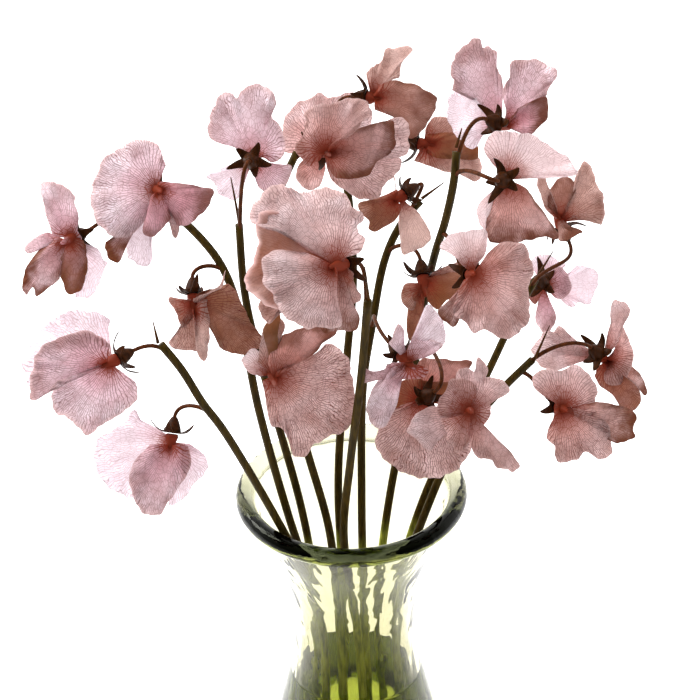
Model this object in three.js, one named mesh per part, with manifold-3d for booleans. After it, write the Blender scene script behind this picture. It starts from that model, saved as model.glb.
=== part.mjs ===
// A glass vase of sweet peas: ten cut stems in water, with their blooms on short curved stalks.
// Millimetres, +Z up. The origin is the middle of the vase's flat foot, and the front is towards -Y.
import * as THREE from "three";
import { mergeVertices } from "three/addons/utils/BufferGeometryUtils.js";
import Module from "manifold-3d";

const wasm = await Module();
wasm.setup();

// Driving dimensions
const GAP = 0.3; // clearance between pieces that touch
const RIM_HEIGHT = 190; // middle of the rolled rim above the table
const RIM_RADIUS = 44.7; // middle of the rolled rim
const RIM_BEAD = 3.8; // radius of the rolled rim's section
const GLASS = 3.5; // wall of the vase
const FLOOR = 8; // thickness of the glass under the water
const WATER_LEVEL = 95;
const NECK_HEIGHT = 124;
const THROAT_HEIGHT = 150; // where the stems begin to spread
const STEM_RADIUS = 1.5;
const TIP_RADIUS = 0.6; // the last centimetre of a stem, above its highest stalk
const HOLE_GAP = 0.5; // the stems' clearance in the water, whose holes are as coarsely faceted as they are
const STALK_RADIUS = 0.75; // the short stalk of one bloom
const STALK_FROM = [0.4, 0.985]; // the shares of a stem's length between which its stalks leave it
const STALK_DROP = 0.012; // the share of a stem's length that its stalk begins below the nearest point
const STALK_HANDLE = 0.45; // how far a stalk's curve keeps its first and last direction, as a share of its span
const CALYX_LENGTH = 6.5;
const CALYX_RADIUS = 3.4;
const CALYX_BASE = 1.9; // radius of its rounded base
const CALYX_WALL = 0.3;
const SEPALS = 5;
const SEPAL_REACH = 4.5; // how far a sepal spreads from the bell
const SEPAL_DROPS = [2.4, 3.2]; // how far the tips of its even and odd sepals fall back towards the stalk
const TUBE_RADIUS = 1.9; // the petals' claws are rolled into a tube, which ends in the pointed keel
const KEEL_LENGTH = 3.5;
const PETAL_THICKNESS = 0.8;
const CLAW = 1; // how far from its claw a petal's blade begins
const CLAW_HEIGHT = 2.2; // how far above the calyx's mouth a bloom's first petal is joined
const CLAW_STEP = 1.1; // from one petal's claw to the next one's
const REST = 1.3; // the first petal lies on the calyx, at least this far above its mouth
const REST_STEP = 0.9; // and each further one at least this far above the last
const REST_FALL = 0.45; // how steeply they fall back over its sepals
const REST_END = 14; // how far from the calyx's axis they may begin to fall more steeply, by REST_CLIFF
const REST_CLIFF = 2;
const CELL = 12; // the length of margin between two corners of a petal
const SMALL = 64; // a petal with a shorter margin is one cell from claw to margin
const RUFFLE_LENGTH = 13; // from one wave of a petal's margin to the next
const LEAST_TURN = THREE.MathUtils.degToRad(4); // between two corners of a petal's margin, round its claw
const STEEPEST = 0.5; // where a petal slopes more than this cosine tells, it isn't made thicker to make up
const SLIVER = 0.05; // the narrowest triangle that is kept where stems, stalks and calyxes are joined
const EYE_TILT = THREE.MathUtils.degToRad(30); // directions are told as seen from this far above the front
const VASE_SIDES = 24;
const STEM_SIDES = 5;
const STEM_STEPS = 15;
const STALK_SIDES = 4;
const TUBE_SIDES = 5;

// The vase's outer wall as [height, radius], from the foot up to the rolled rim
const FOOT_RADIUS = 35;
const WALL = [
  [2, 36.5], [12, 40.5], [32, 43], [52, 40.5], [72, 35.3], [90, 30.8], [107, 27.4],
  [124, 26.2], [142, 27.8], [158, 32], [174, 38.2], [RIM_HEIGHT - 4, 43],
];
// The heights where both faces of the wall have a ring of corners
const LEVELS = [2, 12, 30, 50, 70, WATER_LEVEL, 110, NECK_HEIGHT, 140, 155, 169, 181];
const BEAD_ANGLES = [-60, -5, 50, 100, 150, 200]; // the corners of the rolled rim's section, in degrees

const up = new THREE.Vector3(0, 0, 1);
const v3 = (x, y, z) => new THREE.Vector3(x, y, z);

// right, rise and near are mm on the picture plane of someone who looks down on the front, and towards them
function seen([right, rise, near]) {
  const y = rise * Math.sin(EYE_TILT) - near * Math.cos(EYE_TILT);
  const z = rise * Math.cos(EYE_TILT) + near * Math.sin(EYE_TILT);
  return v3(right, y, z);
}

// Each stem: the points [x, y, z] that its middle runs through, from the vase's floor to its tip
const STEMS = {
  low_left: {
    foot: [-17, -20], neck: [-13, -13], throat: [-17, -15.5], mouth: [-28, -26],
    points: [[-49, -34, 246], [-56, -36, 260], [-63, -38, 277], [-71, -38, 290], [-72, -38, 298]],
  },
  far_left: {
    foot: [-23, -8], neck: [-16, -6.5], throat: [-18.5, -9], mouth: [-26, -16],
    points: [
      [-36, -14, 242], [-43, -6, 288], [-49, 0, 302], [-60, 8, 313],
      [-70, 14, 319], [-82, 20, 321], [-94, 24, 319],
    ],
  },
  upright_left: {
    foot: [-26, 6], neck: [-17, 1.5], throat: [-17.5, -0.5], mouth: [-21.5, -6],
    points: [[-34, 2, 248], [-40, 7, 282], [-41, 10, 315], [-43, 10, 333]],
  },
  back_left: {
    foot: [-5, -25], neck: [-6, -15], throat: [-7, -17], mouth: [-10, -21],
    points: [
      [-18, -14, 224], [-25, -4, 255], [-31, 10, 284], [-31, 20, 303],
      [-24, 32, 319], [-17, 40, 331], [-14, 42, 336],
    ],
  },
  back_middle: {
    foot: [-8, 3], neck: [-5, 2], throat: [-5, 0.5], mouth: [-5.5, 0],
    points: [[-4, 0, 219], [0, 6, 256], [3, 15, 284], [2, 23, 316], [-2, 27, 342], [-3, 29, 354]],
  },
  front_middle: {
    foot: [4, -26], neck: [1.5, -18], throat: [-0.5, -22], mouth: [-3.5, -29],
    points: [[0, -36, 231], [5, -45, 277], [8, -52, 315], [7, -54, 328]],
  },
  bending: {
    foot: [7, -9], neck: [4, -6], throat: [4, -6], mouth: [4.2, -5],
    points: [[6, 0, 244], [10, 6, 267], [16, 14, 294], [23, 19, 307], [32, 23, 316], [40, 27, 320]],
  },
  tall_right: {
    foot: [15, 10], neck: [10, 6], throat: [12, 6], mouth: [17.5, 8],
    points: [
      [25, 10, 229], [31, 11, 274], [35, 7, 298], [39, 1, 317],
      [42, -2, 336], [43, 0, 349], [45, 2, 355],
    ],
  },
  low_right: {
    foot: [24, -14], neck: [17, -8], throat: [20.5, -9.5], mouth: [31, -13],
    points: [[40, -14, 216], [49, -17, 235], [62, -18, 253], [73, -20, 267], [78, -20, 281]],
  },
  back_right: {
    foot: [27, 5], neck: [18, 4], throat: [22, 6], mouth: [35, 11],
    points: [[45, 15, 207], [58, 20, 235], [71, 28, 261], [79, 32, 274], [85, 34, 284]],
  },
};

// Each bloom: its stem, its colour, the calyx's mouth, the way the calyx points, and its petals. A petal is
// [camber, ruffle, margin]: how far its blade bulges towards the front, how high its margin waves, and the
// points that the margin runs through, from one side of the claw to the other. They are [right, rise, near]
// from the calyx's mouth, as seen from the front.
const BLOOMS = {
  left_upper: {
    stem: "low_left", colour: "petal_pale", at: [-85.5, -43.3, 285.7], axis: [-0.8, -0.4, 0.3],
    petals: [
      [-2, 1, [[0, 12, -7], [-7.8, 16.8, -8], [-20, 17.9, -8], [-27.6, 13.4, -8],
               [-34, 6, -6], [-36.5, -0.7, -4], [-34, -10, -2]]],
      [2, 1.4, [[7, -8.6, 0], [6.3, -15.7, 2], [-0.4, -21.3, 4], [-7, -24.6, 4],
               [-12.3, -28, 3], [-17.5, -22.4, 5], [-23.9, -18.7, 4], [-24.6, -12, 3],
               [-19, -6, 3]]],
      [3, 1.2, [[-2, 5.6, 6], [-9, 10.5, 9], [-19, 9.3, 10], [-27.6, 4.9, 8],
                [-32, -5.2, 4], [-32, -15, 3], [-26.5, -12, 6], [-21, -7, 8],
                [-14.5, -4.9, 6]]],
    ],
  },
  left_lower: {
    stem: "low_left", colour: "petal_pale", at: [-68.7, -35.2, 246], axis: [-0.15, -0.95, 0.1],
    petals: [
      [-2, 1, [[-2.7, 9.3, -4], [-12.4, 10.5, -4], [-21, 3, -3], [-30, -2.7, -2],
               [-30.3, -11.3, -1], [-26.8, -19, 0], [-20.2, -23.7, 0], [-14, -25.2, 2]]],
      [1, 1, [[6.2, -4.3, -3], [12.4, -10, -4], [12.4, -15, -5], [7, -21.3, -5],
               [1.6, -27, -4], [-2.7, -28.3, -2]]],
      [3, 1.2, [[-8.5, -3.9, 3], [-15, -11, 5], [-16.3, -19, 6], [-14.7, -26, 5],
                [-12.4, -29.9, 4], [-5.8, -31.4, 4], [-1.6, -26, 6], [3.9, -18.2, 6],
                [7.4, -11.3, 4], [5.8, -4.7, 2]]],
    ],
  },
  far_left: {
    stem: "far_left", colour: "petal_pale", at: [-106, 18, 305], axis: [-0.5, -0.3, 0.8],
    petals: [
      [1, 1, [[6.3, -2.8, -3], [10.7, -3.6, -4], [11.9, -8.7, -4], [9.5, -15.4, -3],
               [8.3, -19.4, -2], [3.6, -24.5, -1], [-1.6, -24.1, 0]]],
      [2, 1.2, [[-8.7, 0, 2], [-11.5, 10.3, 3], [-13, 20.5, 4], [-9.5, 21.7, 3],
               [-3.2, 19.4, 2], [2.4, 13, 0], [5.5, 7, -2], [6.3, 0.4, -2]]],
      [2, 1.2, [[-7.1, -1.6, 3], [-7.5, -8.7, 4], [-5.5, -17.4, 5], [-3.2, -22.9, 4],
                 [1.6, -21.3, 4], [4, -15.4, 3], [4.7, -7.5, 1], [5.9, -0.8, 0]]],
      [1, 0.6, [[-7.5, 0, 2], [-10.3, 1.6, 3], [-16.2, -0.4, 4], [-19.8, -4, 4],
               [-18.2, -6.7, 5], [-12, -4, 4]]],
      [2, 1, [[-9.5, -1.6, 4], [-14.2, -5.5, 6], [-18.6, -11.5, 7], [-20.5, -18.2, 7],
               [-19.8, -22.9, 6], [-16.6, -19.4, 6], [-15.8, -23.3, 6], [-11, -20.5, 6],
               [-6.3, -16.6, 5]]],
    ],
  },
  left_disc: {
    stem: "far_left", colour: "petal_pale", at: [-71, 0, 334], axis: [0.25, -0.15, 0.95],
    petals: [
      [1, 0.6, [[-6, -10, -1], [-10.6, -16.3, -2], [-12, -25, -2], [-8, -28.4, -2],
                [-3.4, -28.8, -2], [-2.3, -26, -2], [-3, -19.3, -2], [-1, -9, -1]]],
      [1, 0.8, [[-9, -12, 1], [-14.4, -17.8, 1], [-19.3, -19.7, 1], [-19, -24.3, 1],
                [-15.2, -27.7, 1], [-12.9, -23, 1], [-7, -13, 1]]],
      [2, 1.6, [[4.2, 8.7, 1], [2.7, 14, 1], [0.8, 17, 1], [-6, 18.6, 1], [-13.6, 15.5, 1],
               [-19.3, 11, 1.5], [-22.4, 5.3, 2], [-24.6, -0.4, 2], [-24.3, -6, 2],
               [-22, -12.5, 3], [-18.6, -16.3, 3], [-13.6, -18.6, 3], [-9.9, -17.4, 3],
               [-6, -13.6, 3], [-3.4, -9.9, 3]]],
      [3, 0.8, [[1.5, 3, 3], [9, 1.9, 4], [16.7, 0, 5], [22, -1, 5], [20.5, -6.8, 5],
                [16.7, -10.2, 6], [13.6, -13.3, 6], [9, -14.8, 5], [6, -11, 4]]],
      [1, 0.3, [[4, -7, 5], [6, -12.5, 5], [6, -17.8, 5], [7.6, -19, 5], [9, -14.8, 5],
               [8, -8, 5]]],
      [3, 0.6, [[-1.5, -4.2, 4], [-4.2, -12.5, 6], [-4.5, -17, 7], [-0.4, -18.2, 7],
                [3.4, -14.8, 7], [6, -11.4, 6], [5.3, -6, 5]]],
    ],
  },
  left_hanging: {
    stem: "far_left", colour: "petal_russet", at: [-59, -9, 293], axis: [0.05, -0.95, 0.2],
    petals: [
      [1, 1, [[-2, -6, 0], [-4, -12.7, 1], [-9.6, -18.5, 3], [-9, -20.5, 3], [-7, -21.2, 3],
               [-1.2, -22, 2], [1.5, -21.6, 2], [1.6, -10, 1]]],
      [3, 1.4, [[3.9, 11.2, 0], [10.4, 5.4, 2], [15, 2.7, 3], [18.1, -2.3, 4],
                [20.8, -8.1, 4], [23.9, -14.7, 4], [26.6, -18, 3], [26.4, -21, 3],
                [23.9, -22.4, 3], [17.4, -23.9, 4], [13, -22.5, 4], [9.6, -20.5, 3],
                [7.7, -15.8, 3], [6.2, -12, 2]]],
      [1, 1, [[-2, 3, 2], [-5.5, 1, 3], [-9.3, -1.5, 4], [-8.5, -4, 4], [-6.9, -6.9, 4],
               [-3.9, -12.7, 4], [0, -9, 3], [1.9, -5, 2]]],
      [1, 0.6, [[0, 6, 2], [2.3, 13, 3], [7, 15, 4], [12, 15, 5], [13, 14, 5], [11, 9.3, 5],
               [8.5, 6.2, 4]]],
      [2, 0.6, [[0.8, -6, 4], [1.5, -14, 5], [1.2, -22, 6], [2.7, -26, 6], [5.4, -22.4, 7],
               [7, -17.8, 7], [6.6, -13.9, 6], [5.8, -6, 5], [5.4, 1.5, 4]]],
    ],
  },
  upright_left: {
    stem: "upright_left", colour: "petal_pale", at: [-35, 14, 338], axis: [0.1, 0.1, -0.95],
    petals: [
      [-3, 1.6, [[-4.2, 5, -3], [-15, 8.4, 0], [-16.5, 11.5, 0], [-15.4, 16, -1],
                [-16, 17.7, 0], [-13.8, 21, 0], [-11.9, 25, -1], [-7.3, 26.5, -1],
                [-5, 24.2, -2], [-2.3, 28, -1], [4.2, 29.2, 0], [8, 26.9, 0],
                [10.4, 22.3, 0], [8, 17.7, -2], [11.1, 13.4, -1], [12.7, 9.6, 0],
                [12.7, 1.9, 0], [8, -0.8, -2], [4.2, 1.9, -3]]],
      [-1, 1, [[-4, 0, -5], [-7.3, -0.8, -5], [-17.7, -5.4, -6], [-15.4, -7.7, -6],
               [-12.7, -12.7, -7], [-8, -15, -8], [-6.1, -14.2, -8], [-2, -5, -6]]],
      [-1, 1, [[2.5, -1, -6], [9.2, -1.5, -6], [15, -1.9, -7], [14.5, -6, -8],
               [12.3, -9.6, -8], [5.8, -12.3, -8], [2.3, -10, -7], [0.5, -5, -6]]],
    ],
  },
  back_left: {
    stem: "back_left", colour: "petal_rose", at: [-8, 50, 325], axis: [0.2, 0, -0.95],
    petals: [
      [-2, 1.6, [[-8, -2, -3], [-15.8, -0.4, -1], [-16, 6, 0], [-15.4, 11.7, 0],
                [-9.3, 19, -1], [-4.4, 20.6, -1], [-0.4, 22.6, 0], [2.8, 20.6, -2],
                [10.9, 22.2, 0], [15, 21.8, -1], [19, 17, -2], [20, 10, -3], [14, 2, -3]]],
      [-1, 1, [[-5, -2, -5], [-10, -6, -5], [-11, -12, -6], [-7, -16, -6], [-2, -15, -6],
               [1, -8, -6]]],
      [-1, 1, [[3, 3, -5], [9, 7, -6], [15, 11, -7], [18, 8, -7], [16, 3, -7], [8, 0, -6]]],
    ],
  },
  low_middle: {
    stem: "back_left", colour: "petal_rose", at: [-29, -26, 268], axis: [0.1, -0.6, 0.75],
    petals: [
      [1, 0.8, [[-4.2, -2.3, 2], [-8.9, -0.8, 2], [-11.6, 3, 2], [-12, 5.8, 2],
                [-9.7, 7.7, 2], [-6.6, 8.9, 2], [-4, 7, 2]]],
      [2, 1.6, [[-3.9, -3.9, 2], [-3, -11.6, 2], [-1.9, -19.3, 1], [-0.4, -22, 1],
                [2.7, -22.4, 2], [5.4, -27, 3], [7, -32.8, 3], [9.3, -34, 3],
                [12.4, -32.8, 3], [14.3, -30, 3], [22, -25.9, 2], [28.9, -23.2, 1],
                [31.7, -13.5, 1], [30.5, -3.9, 1], [28.6, 4.6, 1], [21.2, 9.7, 0],
                [18.9, 6.9, 1]]],
      [2, 0.8, [[-6, 5, 3], [-5.8, 10, 4], [-4.2, 14.3, 5], [-0.4, 17.4, 5], [2.7, 20, 5],
               [5, 18.5, 5], [5, 15.4, 5], [1, 12, 5], [-0.5, 5, 4]]],
      [4, 0.8, [[-2, 6, 2], [-1.2, 9, 4], [0.8, 11.6, 6], [6.6, 14.3, 7], [14.3, 16.6, 7],
                [22, 17.4, 5], [25, 16.2, 4], [25, 13.5, 4], [19.7, 10, 5], [17.4, 6.9, 6],
                [10.4, 3, 7], [2.7, 1.5, 5]]],
      [1, 0.5, [[-1, 9, 4], [-2.7, 16, 6.5], [0, 20, 7], [3, 23, 7], [3.5, 19, 7],
               [1.5, 15, 6]]],
    ],
  },
  hooded: {
    stem: "back_middle", colour: "petal_rose", at: [-8, 5, 346], axis: [0.4, -0.3, 0.85],
    petals: [
      [2, 1, [[2, -7, 2], [3.4, -10.6, 2], [7.2, -14.4, 3], [12.9, -18.5, 3], [18, -19, 3],
              [21.5, -18, 3], [24.2, -13.2, 2], [28.7, -9.5, 1], [29.9, -3.8, 0],
              [20, -2, 1]]],
      [1, 0.8, [[24, 9, 3], [27, 11, 3], [32.5, 10.6, 2], [33.3, 3.8, 2], [32.5, -1.9, 2],
               [29, -4, 2], [24, -4, 3]]],
      [3, 0.8, [[4, 2, 6], [12.9, 6.5, 7], [20.4, 8.7, 7], [26.8, 9.8, 6], [28, 5.7, 6],
                 [27.6, 0, 6], [25.3, -2.6, 6], [21.5, -4.9, 7], [17.8, -10.2, 8],
                 [11, -11.7, 8], [6, -11.3, 7], [3.4, -8.3, 5], [1.5, -3.8, 4]]],
      [3, 1, [[0.4, -2, 4], [-4.9, -6.2, 4], [-7.9, -3.8, 3], [-9.5, 1.9, 3], [-7.9, 8.3, 4],
              [-6.4, 13.2, 6], [-1.5, 15.9, 8], [5.3, 16.6, 9], [11, 18.5, 9],
              [16.6, 17.4, 9], [18.9, 15.1, 10], [20, 12, 10], [17, 9.8, 11], [12.9, 6, 11],
              [9, 3.4, 10], [5.3, 2.3, 8]]],
    ],
  },
  top_middle: {
    stem: "back_middle", colour: "petal_russet", at: [10, 34, 354], axis: [0.85, -0.1, 0.3],
    petals: [
      [2, 1, [[-1, 2.5, 0], [-2.7, 3.9, 0], [-0.8, 9.7, 0], [3, 12.4, -1], [7, 15.6, -2],
              [7.8, 18.7, -2], [12.8, 20.6, -3], [18.7, 19, -3], [16, 14.8, -1],
              [13.6, 11.7, 0], [12.8, 7, 1], [9.7, 7.5, 1], [7, 5, 1]]],
      [3, 0.8, [[2.3, 1.5, 1], [6, 4.5, 3], [10.9, 6, 4], [14.8, 5, 4], [18.7, 4.3, 4],
                [22.6, 2, 4], [27.2, -1.2, 4], [26.5, -4.7, 5], [24.5, -8.6, 5],
                [22.6, -11.7, 4], [18.7, -16.3, 3], [16, -16.3, 3], [14, -12.4, 3],
                [12, -9.3, 3], [7, -6.6, 3], [3, -5, 2]]],
    ],
  },
  back_middle: {
    stem: "back_middle", colour: "petal_russet", at: [30, 40, 331], axis: [0.9, -0.2, 0.2],
    petals: [
      [1, 1, [[2.8, 3, 0], [3.5, 7, 0], [6.8, 10.3, 0], [10.7, 10.3, -1], [15.9, 9.2, -1],
              [19, 6.8, -2], [18, 3.5, -2], [10, 3, -1]]],
      [1, 1, [[0, -2.5, 3], [-5, -6, 3], [-2.4, -6.8, 3], [4.8, -9.6, 2], [10.7, -11.5, 2],
              [16.7, -13, 1], [22.7, -16, 0], [25.5, -10.7, 0], [24, -6, 1], [12, -4, 2]]],
      [2, 0.8, [[2.4, 3.5, 2], [8.8, 4, 3], [15.9, 3.2, 3], [21.5, 0.8, 3], [24, -2.8, 3],
                [23, -6.8, 3], [14.7, -6.8, 4], [6.8, -6.5, 4], [3, -3.5, 3]]],
    ],
  },
  centre: {
    stem: "front_middle", colour: "petal_rose", at: [0, -57, 331], axis: [-0.5, -0.1, 0.85],
    petals: [
      [0, 0.6, [[-20, -7, -5], [-28, -10, -5], [-31, -12.4, -5], [-30.2, -16.7, -5],
               [-28.8, -20.2, -5], [-27, -20.2, -5], [-24.5, -16, -5], [-16, -9, -5]]],
      [1, 1, [[0, 1, -2], [2.5, 2.5, -3], [4.6, 1, -3], [6.4, -3.6, -3], [6.7, -8.9, -3],
              [5.3, -12.4, -3], [1.8, -14.2, -2], [-1.8, -13.1, -2], [-3.6, -10.7, -2]]],
      [1, 1.2, [[1, -6, -3], [2.5, -14, -3], [4.6, -18.8, -3], [4.3, -21.3, -3],
                [2.5, -23.8, -3], [-4, -23.5, -3], [-8, -24, -3], [-10, -20, -3],
                [-6, -10, -3]]],
      [2, 2, [[-11.7, 4.6, 3], [-21.3, 11.4, 3], [-29.5, 13.8, 4], [-33, 16.7, 4],
              [-31.6, 22, 3], [-28.4, 25.6, 2], [-23, 28.8, 1], [-18.8, 27.7, 1],
              [-14.9, 25.9, 0], [-8.2, 27.3, 0], [-3.6, 26.6, 0], [0, 24.5, 0],
              [3.6, 20.6, 0], [7.5, 15.3, -1], [9.6, 7.5, -2], [8.9, 4.6, -2],
              [1.8, 2.8, 0]]],
      [-4, 0.8, [[-20, 15, 2], [-23.8, 19.5, 4], [-29.5, 18.5, 5], [-31, 14.2, 4],
                 [-30.5, 7.8, 3], [-33, 0.7, 3], [-35.9, -5.3, 3], [-32.7, -9.9, 3],
                 [-27.3, -14.2, 3], [-23, -15.6, 3], [-14, -10, 2]]],
      [5, 1.2, [[-2.8, -3.6, 4], [-3.2, -12.4, 5], [-1.8, -19.5, 5], [-2.5, -22.4, 4],
               [-9.6, -22, 5], [-13.5, -22.4, 5], [-19.5, -19.5, 6], [-23, -16.7, 6],
               [-25.9, -9.6, 7], [-28.4, -7.1, 7], [-29, -1.8, 7], [-28.8, 2.5, 7],
               [-24.9, 5.3, 6], [-14.2, 4.6, 4]]],
    ],
  },
  inner_top: {
    stem: "bending", colour: "petal_russet", at: [24, 16, 321], axis: [-0.8, -0.5, 0.2],
    petals: [
      [1, 0.8, [[-2, -4.3, -1], [-2.7, -10.9, -1], [-2.3, -17.9, 0], [-1.6, -23.4, 0],
                [2.7, -22.6, 0], [6.6, -20.7, 0], [9.8, -17.9, 0], [8.6, -13.3, -1],
                [5.9, -8.2, -1], [3.1, -4.3, -1]]],
      [1, 0.4, [[-1.2, 3.5, -1], [-1.6, 11.3, -2], [-0.4, 14, -2], [2.7, 11.3, -2],
                [1.2, 6.2, -2], [2.7, 2.3, -1]]],
      [3, 0.8, [[-2.7, 2, 2], [-7.8, -0.4, 3], [-13.7, -2.3, 4], [-18.3, -3.5, 4],
                [-17.6, -7, 4], [-14.4, -10.9, 4], [-14.4, -13.3, 4], [-11.7, -14.4, 4],
                [-7.8, -12.5, 4], [-3.9, -10.1, 3], [-1.6, -6.2, 2]]],
    ],
  },
  inner_middle: {
    stem: "bending", colour: "petal_russet", at: [30, -1, 294], axis: [0.1, -0.9, 0.3],
    petals: [
      [1, 0.6, [[2.7, 3, -1], [4, 9, -1], [8, 10, -1], [12, 7.5, -2], [16, 3, -2],
               [14.5, 0.8, -2], [10, -0.8, -1], [5, 0, 0]]],
      [2, 0.8, [[2.7, 2.3, 0], [8.2, 1.2, 1], [14.4, 0, 1], [15.2, -4.3, 1], [12.9, -9, 1],
                [9, -10.1, 2], [5.5, -13.3, 2], [1.6, -10.1, 2]]],
      [2, 0.8, [[-3.1, -2.3, 1], [-6.2, -2.7, 1], [-8.2, -5, 2], [-8.6, -7.8, 2],
               [-7.8, -10.9, 2], [-6.2, -13.3, 2], [-4.3, -13.6, 2], [-2.7, -10.1, 1]]],
      [1, 0.6, [[-3, -4, 1], [-6, -13, 2], [-6.8, -19, 2], [-5.9, -25, 2], [-3.5, -25, 2],
                [-1.2, -23.4, 2], [0, -17, 2], [-1, -8, 1]]],
    ],
  },
  inner_low: {
    stem: "bending", colour: "petal_pale", at: [20, -28, 275], axis: [0.55, -0.6, 0.5],
    petals: [
      [2, 0.8, [[6, 6, 1], [9.2, 16, 1], [10.7, 18.4, 1], [12.3, 18, 1], [15.3, 14.6, 1],
                [17.2, 10.3, 2], [17.6, 6.5, 2], [16.5, 3.4, 2], [8, 3, 2]]],
      [0, 0.3, [[-3, 5, 2], [-2.7, 9, 3], [-2.9, 12.3, 3], [-6.9, 18.8, 3], [-8.8, 13, 3],
               [-8.4, 9.2, 3], [-6, 6, 2]]],
      [3, 1, [[-5, -6, 2], [-9.6, -11, 3], [-12.6, -16.9, 4], [-13.4, -21.4, 4],
              [-11.9, -25.7, 4], [-8.8, -28.3, 4], [-6.9, -28, 4], [-3.8, -23.4, 4],
              [-1.1, -16.9, 4], [-0.8, -9, 3]]],
      [2, 0.8, [[1.9, 5, 3], [7.7, 6.5, 4], [12.3, 5, 5], [16.5, 3, 5], [14.6, 0.8, 5],
               [10.7, -1.1, 5], [5.7, -2.3, 4], [1.1, -2.7, 3]]],
      [1, 0.8, [[-3, -1, 4], [-9, -3.5, 4], [-14.5, -5, 4], [-15.3, -8, 4], [-14, -10.5, 4],
                [-8, -9.5, 5], [0, -9.5, 5], [8, -9.5, 5], [10.7, -7, 5], [9, -5, 5],
                [3, -3.5, 4]]],
    ],
  },
  top_right: {
    stem: "tall_right", colour: "petal_pale", at: [59, 14, 351], axis: [0.65, -0.2, -0.75],
    petals: [
      [3, 0.8, [[-3, 5, -6], [-8, 12, -9], [-15.6, 13, -11], [-17.9, 6.5, -12],
                [-17.9, 2.7, -12], [-16, -1.1, -12], [-14, -4.2, -11], [-8.8, -8.8, -10],
                [-6.5, -7.3, -9], [-5, -3, -7]]],
      [-3, 1.6, [[-4, 6, -1], [-13.3, 13, -3], [-16.4, 13.3, -3], [-15.6, 16, -4],
                [-16.8, 20.6, -4], [-14.9, 27, -5], [-10.3, 31, -6], [-5.3, 33, -6],
                [-4.2, 29.7, -5], [-1.9, 30.5, -5], [1.1, 28.2, -5], [0.8, 23.6, -4],
                [1.9, 19, -3], [3, 14, -2], [2.5, 8, -1]]],
      [2, 1, [[2.5, 5, 1], [3, 14, 1], [5.3, 17, 2], [5.7, 22.5, 2], [10.7, 23.6, 3],
              [16.4, 23.2, 3], [21.3, 20.2, 3], [23.2, 19, 3], [23.2, 16.8, 3], [20.2, 13, 3],
              [18.5, 9, 3], [12, 5, 2], [6, 2, 1]]],
      [3, 0.8, [[3, 3, 2], [12, 7, 4], [18.5, 9, 4], [19.4, 6.5, 4], [19.4, 3.8, 4],
                 [18.7, 0.8, 4], [16.4, -1.5, 4], [12.6, -4.6, 4], [9.9, -4.6, 4],
                 [6.9, -3.4, 3], [3.5, -1.5, 2]]],
    ],
  },
  right_upper: {
    stem: "tall_right", colour: "petal_rose", at: [60, -10, 339], axis: [0.4, 0.1, -0.9],
    petals: [
      [-3, 1.2, [[-2, 4, -3], [-4.8, 7.5, -2], [-7, 11.2, -1], [-6.3, 14.9, -1],
                [-2.2, 18.3, -1], [6.3, 17.5, -2], [11.2, 16.8, -2], [15.7, 13.8, -2],
                [21.3, 9.7, -1], [24.6, 7.5, -1], [27.2, 1.5, 0], [21.3, 0.5, -2],
                [10, 0.5, -3]]],
      [3, 0.8, [[-2, -4, -4], [-4.1, -8.6, -4], [-6, -13, -4], [-6.7, -17.9, -4],
                 [-5.6, -22.4, -4], [-1.1, -23.5, -4], [4.5, -23.5, -4], [10, -22.4, -4],
                 [15.7, -21.6, -5], [20.1, -22.4, -6], [19.8, -19.4, -6], [15.7, -13, -6],
                 [11.9, -7.5, -5], [9, -3.5, -4]]],
      [1, 0.6, [[-2.5, -2, -6], [-4.8, -4.5, -6], [-8.6, -7.5, -7], [-10, -11.9, -7],
                [-8.6, -16.4, -7], [-6, -18.7, -7], [-3.5, -13, -6]]],
    ],
  },
  right_disc: {
    stem: "tall_right", colour: "petal_rose", at: [47, -25, 307], axis: [0.1, 0.1, 0.95],
    petals: [
      [1, 1, [[-4, -6, 1], [-9.8, -10.5, 1], [-12.8, -13.1, 1], [-9.8, -17.6, 1],
               [-6.8, -19.1, 1], [-5.3, -17.6, 1], [-2.5, -9, 1]]],
      [2, 0.8, [[-3.4, 4, 1], [-7.1, 8.6, 1], [-11.3, 10.5, 1], [-9, 14.3, 1],
                [-4.1, 16.1, 1], [1.5, 16.9, 1], [6, 16.9, 1], [6.4, 12, 1], [5.3, 7.5, 2],
                [1.5, 3.5, 2]]],
      [2, 1.8, [[6.4, 8, 3], [12, 12, 2], [18.8, 11.3, 2], [21.8, 8.3, 2], [22.5, 3.8, 3],
               [23.6, 0, 3], [21.8, -3, 3], [21.4, -13.1, 3], [21.4, -17.6, 3],
               [15.8, -22.9, 3], [12.8, -24.4, 3], [9.8, -23.6, 3], [6.4, -21.4, 3],
               [2.6, -20.6, 3], [0.4, -21.8, 3], [-3, -16.9, 3], [-6, -15.8, 3],
               [-7.1, -13.9, 3], [-4.9, -5.6, 3], [-3, -1.9, 3]]],
    ],
  },
  low_fan: {
    stem: "tall_right", colour: "petal_rose", at: [30, -24, 252], axis: [-0.5, -0.35, -0.75],
    petals: [
      [2, 1.8, [[-10, -3, -3], [-16, -7.8, -3], [-19.9, -15.6, -2], [-19.6, -19.6, -2],
                [-14, -26.2, -1], [-6.3, -30.5, 0], [1.6, -31.7, 0], [9.4, -29.7, 0],
                [14.5, -25.8, -1], [18, -18.4, -2], [16.4, -12.5, -3], [9, -5, -3]]],
      [1, 0.8, [[-12, -6, -3], [-14, 3, -3], [-8, 7, -4], [-3, 7.5, -4], [8, 6, -4],
                [16, 7, -5], [17, 2, -5], [14, -4, -4]]],
      [1, 0.8, [[-4, 5, -5], [-1.6, 14.5, -6], [5.5, 14.9, -6], [13.3, 14, -6],
                [19.2, 13.7, -6], [17.2, 10.2, -6], [11.3, 6, -6]]],
    ],
  },
  low_ruffle: {
    stem: "low_right", colour: "petal_rose", at: [46, -36, 252], axis: [0, 0.2, 0.95],
    petals: [
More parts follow.
